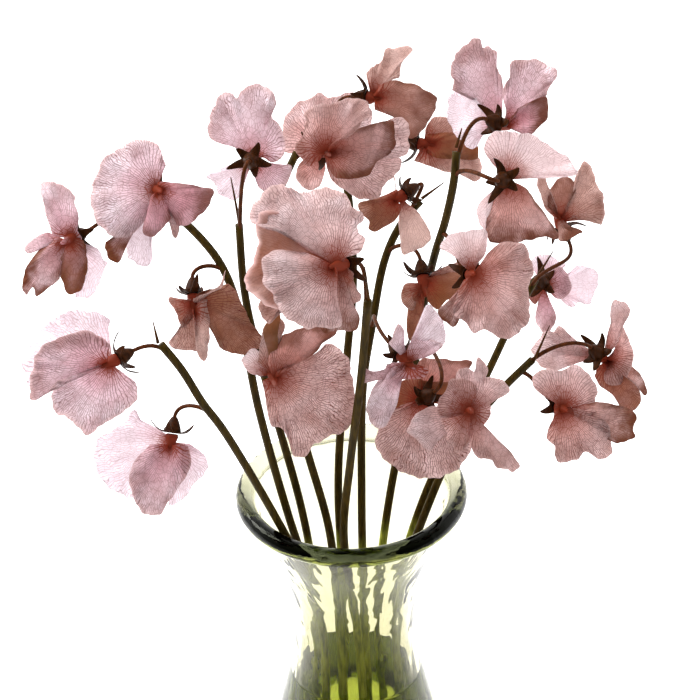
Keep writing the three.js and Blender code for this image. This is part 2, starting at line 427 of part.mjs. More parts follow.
      [2, 1, [[-6, 1, 0], [-10.8, 2.3, -1], [-14.7, 2.8, -2], [-20.5, -0.4, -3],
              [-23.5, -6.2, -3], [-21.2, -8.9, -3], [-18.5, -12, -3], [-15.4, -14.7, -3],
              [-12, -10, -2], [-9, -6, -1]]],
      [1, 1, [[-3, 9, -3], [-4.2, 14.3, -3], [-3, 17, -3], [0.8, 17.4, -3], [3, 16.2, -3],
              [3.9, 20.5, -4], [5, 21.6, -4], [8.1, 17, -4], [7.3, 13.9, -3], [4, 8, -3]]],
      [1, 1, [[3.9, 13, -2], [8.5, 13.9, -3], [12.4, 12.4, -3], [16.2, 8.1, -3],
              [14.7, 6.6, -3], [11.2, 5, -2], [8.5, 3.5, -1], [8, -2, 1], [6, -4.5, 2],
              [2, -3, 2]]],
      [2, 1, [[-4, -1, 4], [-12, 0.5, 4], [-11.5, 5.4, 3], [-8.1, 10, 2], [-6.9, 13.1, 2],
              [-3, 13.9, 2], [1.5, 12.4, 2], [3.5, 10, 2], [1, 4, 4]]],
      [2, 0.8, [[1, -4, 3], [4.6, -5.4, 3], [7.3, -7.3, 3], [12.4, -12, 2], [19.3, -20.5, 1],
               [16.6, -23.2, 1], [14.3, -21.6, 2], [9.7, -20.8, 4], [8.5, -17.8, 4],
               [3, -17, 4], [0.8, -13.9, 4], [-0.8, -8, 4]]],
      [2, 1, [[-5, -2, 6], [-10.8, -1.5, 6], [-8.9, -6.9, 7], [-9.3, -9.3, 7],
               [-6.9, -11.2, 7], [-6.2, -13.9, 7], [-3.9, -14.3, 7], [-1.9, -12, 7],
               [0, -9.3, 6], [-0.6, -4.2, 5]]],
    ],
  },
  right_side: {
    stem: "back_right", colour: "petal_russet", at: [87, 24, 300], axis: [-0.4, 0.8, 0.35],
    petals: [
      [3, 1.2, [[2, 6.8, 3], [5.2, 19.6, 4], [6.4, 22.7, 4], [8.4, 25.5, 3], [11.2, 24.3, 3],
               [12.8, 20.7, 3], [14.4, 16, 3], [16, 11.6, 4], [16.4, 6.8, 4], [14.8, 0, 4],
               [11.2, 2, 4], [4, 4.5, 3]]],
      [2, 1, [[-3, 5, 4], [-8, 10.8, 5], [-5.6, 14.8, 5], [-0.8, 19.6, 5], [4, 18.8, 5],
               [5, 14.8, 4], [1, 7, 3]]],
      [1, 0.6, [[-3, 3, 6], [-7, 8, 7], [-10, 14, 7], [-9.6, 21, 7], [-8, 22, 7],
               [-6.5, 17, 7], [-3, 8, 6]]],
      [1, 0.6, [[0.4, -3, 6], [5.2, -6.4, 7], [10.4, -9.6, 7], [8.4, -13.6, 7],
                 [3.2, -15.6, 7], [0.8, -12, 7], [-0.8, -6, 6]]],
    ],
  },
  back_right: {
    stem: "back_right", colour: "petal_pale", at: [82, 45, 263], axis: [0.3, -0.3, -0.9],
    petals: [
      [1, 0.8, [[-1, 2, -3], [-5, 1.3, -3], [-5.9, -5, -3], [-2.9, -9.2, -3], [0, -5, -3]]],
      [1, 1, [[1.3, -4, -3], [4.2, -9.2, -3], [5.9, -14.7, -3], [4.2, -19.7, -3],
              [1.7, -22.2, -3], [-2.5, -16.3, -3], [-1.5, -8, -3]]],
      [1, 0.8, [[2, 2, -3], [5.4, 5.4, -3], [8.4, 6.3, -4], [11.3, 2.5, -4], [12.6, -2.9, -4],
               [10, -6.7, -4], [6.3, -7, -3], [2.5, -3, -3]]],
      [0, 0.8, [[-1.5, 3, -4], [-3.8, 8.8, -5], [-0.8, 11.7, -5], [3.4, 11.3, -5],
                [8.4, 8.8, -5], [11, 7, -5], [3, 3, -4]]],
      [-1, 1, [[6, 0, -5], [10.9, 1, -6], [15.9, 6.7, -7], [24.3, 3.4, -7], [24.7, -0.8, -7],
               [23, -5.9, -7], [20, -10, -7], [16, -8.8, -7], [12.6, -10.9, -7], [8, -7, -6],
               [4, -3, -5]]],
    ],
  },
  right_middle: {
    stem: "low_right", colour: "petal_rose", at: [98, -14, 264], axis: [0.5, -0.4, -0.75],
    petals: [
      [2, 1, [[-7, 3, -8], [-18.4, 9, -10], [-24, 3, -11], [-25, 1.2, -11],
              [-22.7, -3.5, -10], [-20.8, -5.5, -10], [-15.7, -6.7, -9], [-9, -4.3, -8],
              [-4, -3, -7]]],
      [3, 0.3, [[-8, 5, -8], [-14, 11, -9], [-16.5, 7, -9], [-17.6, 3, -9], [-16.5, 0.4, -9],
               [-14, -0.8, -9], [-11.8, 0, -9], [-6, 1, -8]]],
      [1, 1, [[2.5, 4, 0], [5, 11, -1], [5.5, 16.9, -2], [6.3, 20, -2], [7.8, 21, -2],
              [12.9, 18.4, -2], [13.7, 15.3, -2], [10.6, 11, -1], [8, 4, 0]]],
      [1, 0.6, [[6, -3, -1], [12.5, -5, -1], [15.7, -7.4, -1], [18.4, -11.8, -1],
                [19.2, -15.3, -1], [18.4, -17.2, -1], [14.9, -12.5, -1], [8, -7, -1]]],
      [2, 0.8, [[-1, -4, 0], [-1.5, -8.5, 0], [0.8, -12.5, 0], [5.5, -16.5, 1],
                [10.6, -24.7, 1], [13.3, -23, 1], [15.7, -20.4, 1], [16.5, -16.5, 1],
                [13.7, -12.5, 1], [6, -6, 1]]],
      [3, 1.2, [[5, 3, 2], [9.4, 11, 1], [11.4, 7, 1], [13.7, 0.4, 2], [13.3, -3.5, 3],
               [11.8, -6.7, 3], [9.4, -10.6, 3], [6.7, -12.5, 3], [2.7, -11.8, 3],
               [1, -6, 2]]],
    ],
  },
  right_low: {
    stem: "low_right", colour: "petal_rose", at: [81, -34, 253], axis: [0.3, -0.2, 0.9],
    petals: [
      [2, 1.8, [[-1.5, 1.5, 4], [-4.6, -9.3, 4], [-5.4, -12.4, 4], [-2.7, -15, 4],
                [-2.7, -18.9, 4], [-1.2, -21.2, 4], [5.4, -20.8, 4], [10, -17.8, 3],
                [14.3, -20.5, 3], [18.9, -19.3, 3], [20, -17, 3], [18.5, -7.3, 3],
                [13, -1.5, 3]]],
      [2, 1.4, [[-2.3, 1.9, 2], [-8.5, 6.2, 3], [-10.4, 8.9, 3], [-10, 12, 3],
               [-5.4, 14.7, 3], [0.4, 13.9, 3], [7.3, 15.8, 2], [12.7, 10, 2], [15, 6.2, 2],
               [14, 1.5, 3]]],
      [1, 1.2, [[12, 1.5, 1], [20.5, 0.4, 1], [28.6, -2.7, 1], [29.3, -5.4, 1],
                [28.6, -9.3, 1], [29.3, -12.4, 1], [23.5, -14.7, 1], [17.8, -13, 1],
                [10, -5, 1]]],
    ],
  },
};

const FINISHES = {
  glass: { color: "#a9b55a", roughness: 0.05, metalness: 0, transparent: true, opacity: 0.4 },
  water: { color: "#b9c77a", roughness: 0.02, metalness: 0, transparent: true, opacity: 0.35 },
  stem: { color: "#4a3b12", roughness: 0.55, metalness: 0 },
  petal_rose: { color: "#c49a9d", roughness: 0.6, metalness: 0 },
  petal_pale: { color: "#dcbcc6", roughness: 0.6, metalness: 0 },
  petal_russet: { color: "#9c6a5c", roughness: 0.65, metalness: 0 },
};

function solidOf(geometry) {
  const bare = geometry.clone();
  bare.deleteAttribute("normal");
  bare.deleteAttribute("uv");
  const merged = mergeVertices(bare, 1e-4);
  return new wasm.Manifold(
    new wasm.Mesh({
      numProp: 3,
      vertProperties: new Float32Array(merged.attributes.position.array),
      triVerts: new Uint32Array(merged.index.array),
    }),
  );
}

function meshOf(name, solid, finish, at = [0, 0, 0]) {
  const { vertProperties, triVerts } = solid.getMesh();
  const geometry = new THREE.BufferGeometry();
  geometry.setAttribute("position", new THREE.BufferAttribute(vertProperties, 3));
  geometry.setIndex(new THREE.BufferAttribute(triVerts, 1));
  geometry.computeVertexNormals();
  const material = new THREE.MeshStandardMaterial({ name: finish, ...FINISHES[finish] });
  const mesh = new THREE.Mesh(geometry, material);
  mesh.name = name;
  mesh.position.set(...at);
  return mesh;
}

function joined(solids) {
  return solids.reduce((whole, next) => whole.add(next));
}

// A closed shell over rows of points: rows[j][i] gives the outer face and backs[j][i] the inner one.
// Both faces are split into the same triangles.
function shellOf(rows, backs) {
  const positions = [];
  const index = [];
  const across = rows[0].length;
  const down = rows.length;
  for (const row of [...rows, ...backs]) for (const p of row) positions.push(p.x, p.y, p.z);
  const front = (j, i) => j * across + i;
  const back = (j, i) => (down + j) * across + i;
  const quad = (a, b, c, d) => index.push(a, b, c, a, c, d);
  for (let j = 0; j < down - 1; j++) {
    for (let i = 0; i < across - 1; i++) {
      quad(front(j, i), front(j, i + 1), front(j + 1, i + 1), front(j + 1, i));
      index.push(back(j, i), back(j + 1, i + 1), back(j, i + 1));
      index.push(back(j, i), back(j + 1, i), back(j + 1, i + 1));
    }
  }
  for (let i = 0; i < across - 1; i++) {
    quad(front(0, i + 1), front(0, i), back(0, i), back(0, i + 1));
    quad(front(down - 1, i), front(down - 1, i + 1), back(down - 1, i + 1), back(down - 1, i));
  }
  for (let j = 0; j < down - 1; j++) {
    quad(front(j, 0), front(j + 1, 0), back(j + 1, 0), back(j, 0));
    quad(front(j + 1, across - 1), front(j, across - 1), back(j, across - 1), back(j + 1, across - 1));
  }
  const geometry = new THREE.BufferGeometry();
  geometry.setAttribute("position", new THREE.Float32BufferAttribute(positions, 3));
  geometry.setIndex(index);
  return geometry;
}

// Moves a point of a petal along the calyx's axis until it lies above the calyx, its sepals and the petals
// that are joined below
function rested(point, place, axis) {
  const height = point.dot(axis);
  const aside = point.clone().addScaledVector(axis, -height).length();
  const fall = REST_FALL * Math.max(0, aside - CALYX_RADIUS) + REST_CLIFF * Math.max(0, aside - REST_END);
  return point.addScaledVector(axis, Math.max(0, REST + REST_STEP * place - fall - height));
}

// A petal as a closed blade about a middle surface that is stretched from the claw to the margin. The blade
// bulges along its face by a parabola, and its margin waves. Seen along the face, its corners lie on rays
// that turn one way round the claw, so the blade never folds through itself.
function petalSolid([camber, ruffle, margin], place, axis, phase) {
  const claw = axis.clone().multiplyScalar(CLAW_HEIGHT + CLAW_STEP * place);
  const outline = new THREE.CatmullRomCurve3(margin.map(seen), false, "centripetal");
  const length = outline.getLength();
  const cells = Math.max(3, Math.round(length / CELL));
  const spokes = outline.getSpacedPoints(cells).map((point) => point.sub(claw));
  const face = v3(0, 0, 0);
  for (let i = 0; i < cells; i++) face.add(spokes[i].clone().cross(spokes[i + 1]));
  face.normalize();
  const bulge = camber * Math.sign(face.dot(seen([0, 0, 1])));
  const fromClaw = (i, share) => {
    const out = Math.max(share, CLAW / spokes[i].length());
    const wave = ruffle * out * out * Math.sin((2 * Math.PI * length * i) / cells / RUFFLE_LENGTH + phase);
    const point = claw.clone().addScaledVector(spokes[i], out);
    point.addScaledVector(face, wave + bulge * 4 * out * (1 - out));
    return rested(point, place, axis).sub(claw);
  };
  const flat = (point) => point.clone().addScaledVector(face, -point.dot(face));
  const rays = [flat(fromClaw(0, 1)).normalize()];
  for (let i = 1; i <= cells; i++) {
    const last = rays[i - 1];
    const next = flat(fromClaw(i, 1));
    const turn = Math.atan2(face.dot(last.clone().cross(next)), last.dot(next));
    rays.push(last.clone().applyAxisAngle(face, Math.max(turn, LEAST_TURN)));
  }
  const shares = length < SMALL ? [0, 1] : [0, 0.55, 1];
  const rows = shares.map((share) => rays.map((ray, i) => {
    const point = fromClaw(i, share);
    const reach = Math.min(flat(point).length(), (share + 0.1) * flat(fromClaw(i, 1)).length());
    return ray.clone().multiplyScalar(reach).addScaledVector(face, point.dot(face)).add(claw);
  }));
  const half = (j, i) => {
    const across = rows[j][Math.min(i + 1, cells)].clone().sub(rows[j][Math.max(i - 1, 0)]);
    const outwards = rows[Math.min(j + 1, shares.length - 1)][i].clone().sub(rows[Math.max(j - 1, 0)][i]);
    const level = Math.abs(across.cross(outwards).normalize().dot(face));
    return PETAL_THICKNESS / 2 / Math.max(level, STEEPEST);
  };
  const fronts = rows.map((row, j) => row.map((point, i) => point.clone().addScaledVector(face, half(j, i))));
  const backs = rows.map((row, j) => row.map((point, i) => point.clone().addScaledVector(face, -half(j, i))));
  return solidOf(shellOf(backs, fronts));
}

// A closed tube of round section along a path
function tubeSolid(path, steps, sides, radius) {
  const corners = Array.from({ length: sides }, (_, i) => {
    const angle = (2 * Math.PI * i) / sides;
    return new THREE.Vector2(radius * Math.cos(angle), radius * Math.sin(angle));
  });
  const section = new THREE.Shape(corners);
  return solidOf(new THREE.ExtrudeGeometry(section, { steps, extrudePath: path, bevelEnabled: false }));
}

// Moves a shape made about +Z to a place, with its +Z turned to a direction
function placed(solid, at, direction) {
  const turn = new THREE.Quaternion().setFromUnitVectors(up, direction);
  const matrix = new THREE.Matrix4().compose(at, turn, v3(1, 1, 1));
  return solid.transform(matrix.elements);
}

function lathe(profile) {
  const turned = new THREE.LatheGeometry(profile, VASE_SIDES);
  return solidOf(turned.rotateX(Math.PI / 2));
}

const wallCurve = new THREE.SplineCurve(WALL.map(([z, r]) => new THREE.Vector2(r, z))).getPoints(200);

// The outer wall's radius at a height
function wallRadius(z) {
  const above = Math.max(1, wallCurve.findIndex((p) => p.y >= z));
  const [a, b] = [wallCurve[above - 1], wallCurve[above]];
  return a.x + ((b.x - a.x) * (z - a.y)) / (b.y - a.y);
}

const inside = (z, inset) => new THREE.Vector2(wallRadius(z) - GLASS - inset, z);

function vaseSolid() {
  const outer = LEVELS.map((z) => new THREE.Vector2(wallRadius(z), z));
  const bead = BEAD_ANGLES.map((degrees) => {
    const angle = THREE.MathUtils.degToRad(degrees);
    const corner = new THREE.Vector2(RIM_RADIUS, RIM_HEIGHT);
    return corner.add(new THREE.Vector2(Math.cos(angle), Math.sin(angle)).multiplyScalar(RIM_BEAD));
  });
  const inner = LEVELS.filter((z) => z > FLOOR).map((z) => inside(z, 0)).reverse();
  const foot = [new THREE.Vector2(0, 0), new THREE.Vector2(FOOT_RADIUS, 0)];
  const floor = [inside(FLOOR, 0), new THREE.Vector2(0, FLOOR)];
  return lathe([...foot, ...outer, ...bead, ...inner, ...floor]);
}

// The water fills the vase to its level, and the stems stand in plain holes through it
function waterSolid(holes) {
  const levels = [FLOOR + GAP, ...LEVELS.filter((z) => z > FLOOR + 1 && z <= WATER_LEVEL)];
  const side = levels.map((z) => inside(z, GAP));
  const whole = lathe([new THREE.Vector2(0, FLOOR + GAP), ...side, new THREE.Vector2(0, WATER_LEVEL)]);
  return holes.reduce((water, hole) => water.subtract(hole), whole);
}

// The stem's middle line, up to where its thin tip begins
function stemCurve(stem) {
  const inVase = [
    v3(...stem.foot, FLOOR + GAP),
    v3(...stem.neck, NECK_HEIGHT),
    v3(...stem.throat, THROAT_HEIGHT),
    v3(...stem.mouth, RIM_HEIGHT),
  ];
  const above = stem.points.slice(0, -1).map((p) => v3(...p));
  return new THREE.CatmullRomCurve3([...inVase, ...above], false, "centripetal");
}

// The calyx is a bell with five pointed sepals that spread from its mouth. Two corners for each sepal go
// round it: the even ones lie under a sepal and the odd ones between two.
function calyxSolid(bloom) {
  const axis = seen(bloom.axis).normalize();
  const base = v3(...bloom.at).addScaledVector(axis, -CALYX_LENGTH);
  const corners = 2 * SEPALS;
  const around = (radius, height, turns) => {
    const angle = 2 * Math.PI * turns;
    return v3(radius * Math.cos(angle), radius * Math.sin(angle), height);
  };
  const ring = (radius, height) => {
    return Array.from({ length: corners }, (_, i) => around(radius, height, i / corners));
  };
  const tips = Array.from({ length: SEPALS }, (_, k) => {
    return around(CALYX_RADIUS + SEPAL_REACH, CALYX_LENGTH - SEPAL_DROPS[k % 2], k / SEPALS);
  });
  const points = [
    v3(0, 0, 0),
    ...ring(CALYX_BASE, CALYX_BASE / 3),
    ...ring(CALYX_RADIUS, CALYX_LENGTH - CALYX_BASE),
    ...ring(CALYX_RADIUS - CALYX_WALL, CALYX_LENGTH),
    ...tips,
    v3(0, 0, CALYX_LENGTH),
  ];
  const [low, outer, inner, tip] = [0, 1, 2, 3].map((rings) => 1 + rings * corners);
  const middle = tip + SEPALS;
  const index = [];
  for (let i = 0; i < corners; i++) {
    const next = (i + 1) % corners;
    index.push(0, low + next, low + i);
    index.push(low + i, low + next, outer + next, low + i, outer + next, outer + i);
    index.push(middle, inner + i, inner + next);
    // each half of a sepal: its underside, its upper side and, at the odd corner, its edge
    const sepal = tip + (i % 2 ? (next / 2) % SEPALS : i / 2);
    index.push(outer + i, outer + next, sepal, inner + next, inner + i, sepal);
    if (i % 2) index.push(inner + i, outer + i, sepal);
    else index.push(outer + next, inner + next, sepal);
  }
  const geometry = new THREE.BufferGeometry().setFromPoints(points);
  geometry.setIndex(index);
  return placed(solidOf(geometry), base, axis);
}

// The stalk leaves the stem a little below the point nearest to the calyx, along the stem, outwards and
// up, and arches over into the calyx's base
function stalkSolid(bloom, curve) {
  const axis = seen(bloom.axis).normalize();
  const end = v3(...bloom.at).addScaledVector(axis, CALYX_BASE / 3 - CALYX_LENGTH);
  const [lowest, highest] = STALK_FROM;
  const samples = 80;
  const away = (share) => curve.getPointAt(share).distanceTo(end);
  let nearest = lowest;
  for (let i = 0; i <= samples; i++) {
    const share = lowest + ((highest - lowest) * i) / samples;
    if (away(share) < away(nearest)) nearest = share;
  }
  const leave = Math.max(lowest, nearest - STALK_DROP);
  const start = curve.getPointAt(leave);
  const handle = start.distanceTo(end) * STALK_HANDLE;
  const aside = end.clone().sub(start).normalize();
  const rise = start.clone().addScaledVector(curve.getTangentAt(leave), handle * 0.5);
  rise.addScaledVector(aside, handle * 0.3).addScaledVector(up, handle * 0.35);
  const arrive = end.clone().addScaledVector(axis, -handle);
  return tubeSolid(new THREE.CubicBezierCurve3(start, rise, arrive, end), 4, STALK_SIDES, STALK_RADIUS);
}

// One cut stem with its thin tip, and the stalk and calyx of each bloom it carries
function stemSolid(name) {
  const curve = stemCurve(STEMS[name]);
  const [from, to] = STEMS[name].points.slice(-2).map((p) => v3(...p));
  const below = from.clone().lerp(to, -0.15);
  const parts = [
    tubeSolid(curve, STEM_STEPS, STEM_SIDES, STEM_RADIUS),
    tubeSolid(new THREE.LineCurve3(below, to), 1, STALK_SIDES, TIP_RADIUS),
  ];
  for (const bloom of Object.values(BLOOMS).filter((b) => b.stem === name)) {
    parts.push(stalkSolid(bloom, curve), calyxSolid(bloom));
  }
  return joined(parts).simplify(SLIVER);
}

// A bloom about the middle of its calyx's mouth: petals round a short tube that ends in the pointed keel
function bloomSolid(bloom, order) {
  const axis = seen(bloom.axis).normalize();
  const length = CLAW_HEIGHT + CLAW_STEP * bloom.petals.length;
  const profile = [[0, GAP], [TUBE_RADIUS, GAP], [TUBE_RADIUS, length], [0, length + KEEL_LENGTH]];
  const tube = new THREE.LatheGeometry(profile.map(([r, z]) => new THREE.Vector2(r, z)), TUBE_SIDES);
  const parts = [placed(solidOf(tube.rotateX(Math.PI / 2)), v3(0, 0, 0), axis)];
  bloom.petals.forEach((petal, place) => {
    parts.push(petalSolid(petal, place, axis, order * 2.4 + place * 2.5));
  });
  const [whole] = joined(parts).decompose().sort((a, b) => b.volume() - a.volume());
  return whole; // without the specks that are left where two blades touch
}

const group = new THREE.Group();
group.name = "sweet_peas_in_vase";
const holes = Object.values(STEMS).map((stem) => {
  return tubeSolid(stemCurve(stem), STEM_STEPS, STEM_SIDES, STEM_RADIUS + HOLE_GAP);
});
group.add(meshOf("vase", vaseSolid(), "glass"));
group.add(meshOf("water", waterSolid(holes), "water"));
for (const name of Object.keys(STEMS)) {
  group.add(meshOf(`stem_${name}`, stemSolid(name), "stem"));
}
Object.entries(BLOOMS).forEach(([name, bloom], order) => {
  group.add(meshOf(`bloom_${name}`, bloomSolid(bloom, order), bloom.colour, bloom.at));
});

export default group;
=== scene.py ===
"""A green glass vase of sweet peas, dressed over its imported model: petals, stems, glass and water.

Metres, +Z up, with the origin in the middle of the vase's foot. Lengths are written in millimetres, and a
piece is turned into metres once, when its mesh is made.
"""
import math

import bmesh
import bpy
import numpy as np
from mathutils import Matrix, Vector


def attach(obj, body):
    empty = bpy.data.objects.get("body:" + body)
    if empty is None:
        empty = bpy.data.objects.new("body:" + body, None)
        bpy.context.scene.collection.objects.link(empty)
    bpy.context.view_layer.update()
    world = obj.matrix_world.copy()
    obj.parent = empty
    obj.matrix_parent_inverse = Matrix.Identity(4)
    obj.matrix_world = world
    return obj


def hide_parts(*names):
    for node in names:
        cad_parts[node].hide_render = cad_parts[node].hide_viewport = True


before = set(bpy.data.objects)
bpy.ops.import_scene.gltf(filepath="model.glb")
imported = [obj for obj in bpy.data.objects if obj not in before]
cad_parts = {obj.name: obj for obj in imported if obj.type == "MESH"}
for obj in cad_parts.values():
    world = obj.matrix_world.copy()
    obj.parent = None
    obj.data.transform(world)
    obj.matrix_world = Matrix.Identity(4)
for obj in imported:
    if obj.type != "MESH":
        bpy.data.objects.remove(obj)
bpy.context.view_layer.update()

MM = 0.001
# points closer than this are one, in metres
SAME_PLACE = 1e-7
# the points of a smooth line, and of each of its cubics
LINE_POINTS = 400
SPAN_POINTS = 60

# The vase, in millimetres
RIM_HEIGHT = 190
RIM_RADIUS = 44.7
RIM_BEAD = 3.8
GLASS = 3.5
FLOOR = 8
FOOT_RADIUS = 35
WATER_LEVEL = 95
NECK_HEIGHT = 124
THROAT_HEIGHT = 150
VASE_SIDES = 160
WALL_POINTS = 90
INNER_POINTS = 70
BEAD_POINTS = 30
# the rolled rim's arc in degrees, from under its outside over its top to under its inside
BEAD_ARC = [-70, 215]
# how far below the rim's middle the inner wall begins, and how wide its corner with the floor is
INNER_DROP = 6
FLOOR_CORNER = 2
# how far the water reaches into the glass, how high its underside lies over the floor in the middle and at
# the wall, and its surface at the wall, where it is drawn up, as [inwards, up]
WATER_OVERLAP = 0.05
WATER_FOOT = [0.05, 0.3]
WATER_EDGE = [[0, 0.8], [0.8, 0.25], [2.2, 0]]
# the vase's outer wall as [height, radius]
WALL = [
    [2, 36.5], [12, 40.5], [32, 43], [52, 40.5], [72, 35.3], [90, 30.8], [107, 27.4],
    [124, 26.2], [142, 27.8], [158, 32], [174, 38.2], [RIM_HEIGHT - 4, 43],
]

# The stems, in millimetres
STEM_RADIUS = 1.5
STEM_SIDES = 14
# how high a stem's cut end lies over the floor, and how far apart its rings are, in points of its line
STEM_FOOT = 0.3
RING_STEP = 4
# a stem's radius at its foot as a share of STEM_RADIUS, and how much of that it loses up to its tip
STEM_SWELL = [1.25, 0.2]
# a tip's radius where it leaves the stem and at its end, and the share of its length that is in the stem
TIP_RADII = [0.7, 0.2]
TIP_OVERLAP = 0.15
TIP_POINTS = 8
TIP_SIDES = 8
STALK_RADIUS = 0.8
# a stalk's radius at the stem and at the calyx, as shares of STALK_RADIUS
STALK_SWELL = [1.1, 0.95]
STALK_POINTS = 28
STALK_SIDES = 10
# where along a stem its stalks may begin, and how far below the nearest point they do
STALK_FROM = [0.4, 0.985]
STALK_DROP = 0.012
# a stalk's handles, and how much of the first goes along the stem, towards the bloom and up
STALK_HANDLE = 0.45
STALK_RISE = [0.5, 0.3, 0.35]
CALYX_LENGTH = 6.5
CALYX_RADIUS = 3.4
CALYX_BASE = 1.9
CALYX_SIDES = 20
SEPALS = 5
SEPAL_REACH = 5.2
SEPAL_WIDTH = 3.8
SEPAL_THICKNESS = 0.35
SEPAL_DROPS = [2.4, 3.2]
SEPAL_GRID = [7, 14]
# how far a sepal's root lies inside the calyx, and how high it is arched, cupped and turned aside
SEPAL_ROOT = 0.7
SEPAL_ARCH = 1.2
SEPAL_CUP = 0.4
SEPAL_BEND = 0.4

# The petals, in millimetres
# the cone of the claws at a bloom's throat, and the keel on it
TUBE_RADIUS = 2.5
KEEL_LENGTH = 2.8
KEEL_SIDES = 16
KEEL_POINTS = 24
PETAL_THICKNESS = 0.3
# where a blade begins as a share of the way to its margin, how high over the calyx's mouth the lowest
# petal's claw lies, and how much higher each next one
CLAW = 0.04
CLAW_HEIGHT = 2.2
CLAW_STEP = 1.1
# the least height of the lowest petal at the calyx's rim, how much higher each next one rests, how fast
# that falls outwards, and how much faster past REST_END
REST = 1.1
REST_STEP = 0.9
REST_FALL = 0.45
REST_END = 14
REST_CLIFF = 2
# how large a petal's faces are, and the fewest points along its margin and from its claw to the margin
CELL = 0.75
LEAST_COLUMNS = 24
LEAST_ROWS = 14
# the shares of its length that a margin is smoothed over, for the inner blade
SOFT_SHARES = [0.3, 0.2]
# how far the waves move on from bloom to bloom and from petal to petal
PHASE_STEPS = [2.4, 2.5]
# the lengths of the waves on a petal, and their heights in mm or as shares. A second is how strong the
# second sine of the scallops, folds or ruffles is.
SCALLOP_LENGTH = 7.7
SCALLOP_SECOND = 0.7
SCALLOP_SHARE = 0.009
FOLD_LENGTHS = [17, 12]
FOLD_SWAYS = [2.5, 2]
FOLD_SECOND = 0.8
FOLD_HEIGHT = 1.1
CREASE_WIDTH = 3
CREASE_SHARE = 0.05
RUFFLE_LENGTH = 13
LONG_RUFFLE = 1.9 * RUFFLE_LENGTH
RUFFLE_SECOND = 0.6
FRILL_LENGTH = 4.1
FRILL_SHARE = 0.55
UNEVEN_LENGTHS = [29, 19]
EYE_TILT = math.radians(30)

# Each stem: where its middle runs at the vase's floor, neck, throat and mouth, as [x, y], and the points
# [x, y, z] that it runs through above, up to its tip
STEMS = {
    "low_left": [
        [[-17, -20], [-13, -13], [-17, -15.5], [-28, -26]],
        [[-49, -34, 246], [-56, -36, 260], [-63, -38, 277], [-71, -38, 290], [-72, -38, 298]],
    ],
    "far_left": [
        [[-23, -8], [-16, -6.5], [-18.5, -9], [-26, -16]],
        [[-36, -14, 242], [-43, -6, 288], [-49, 0, 302], [-60, 8, 313], [-70, 14, 319], [-82, 20, 321],
         [-94, 24, 319]],
    ],
    "upright_left": [
        [[-26, 6], [-17, 1.5], [-17.5, -0.5], [-21.5, -6]],
        [[-34, 2, 248], [-40, 7, 282], [-41, 10, 315], [-43, 10, 333]],
    ],
    "back_left": [
        [[-5, -25], [-6, -15], [-7, -17], [-10, -21]],
        [[-18, -14, 224], [-25, -4, 255], [-31, 10, 284], [-31, 20, 303], [-24, 32, 319], [-17, 40, 331],
         [-14, 42, 336]],
    ],
    "back_middle": [
        [[-8, 3], [-5, 2], [-5, 0.5], [-5.5, 0]],
        [[-4, 0, 219], [0, 6, 256], [3, 15, 284], [2, 23, 316], [-2, 27, 342], [-3, 29, 354]],
    ],
    "front_middle": [
        [[4, -26], [1.5, -18], [-0.5, -22], [-3.5, -29]],
        [[0, -36, 231], [5, -45, 277], [8, -52, 315], [7, -54, 328]],
    ],
    "bending": [
        [[7, -9], [4, -6], [4, -6], [4.2, -5]],
        [[6, 0, 244], [10, 6, 267], [16, 14, 294], [23, 19, 307], [32, 23, 316], [40, 27, 320]],
    ],
    "tall_right": [
        [[15, 10], [10, 6], [12, 6], [17.5, 8]],
        [[25, 10, 229], [31, 11, 274], [35, 7, 298], [39, 1, 317], [42, -2, 336], [43, 0, 349],
         [45, 2, 355]],
    ],
    "low_right": [
        [[24, -14], [17, -8], [20.5, -9.5], [31, -13]],
        [[40, -14, 216], [49, -17, 235], [62, -18, 253], [73, -20, 267], [78, -20, 281]],
    ],
    "back_right": [
        [[27, 5], [18, 4], [22, 6], [35, 11]],
        [[45, 15, 207], [58, 20, 235], [71, 28, 261], [79, 32, 274], [85, 34, 284]],
    ],
}

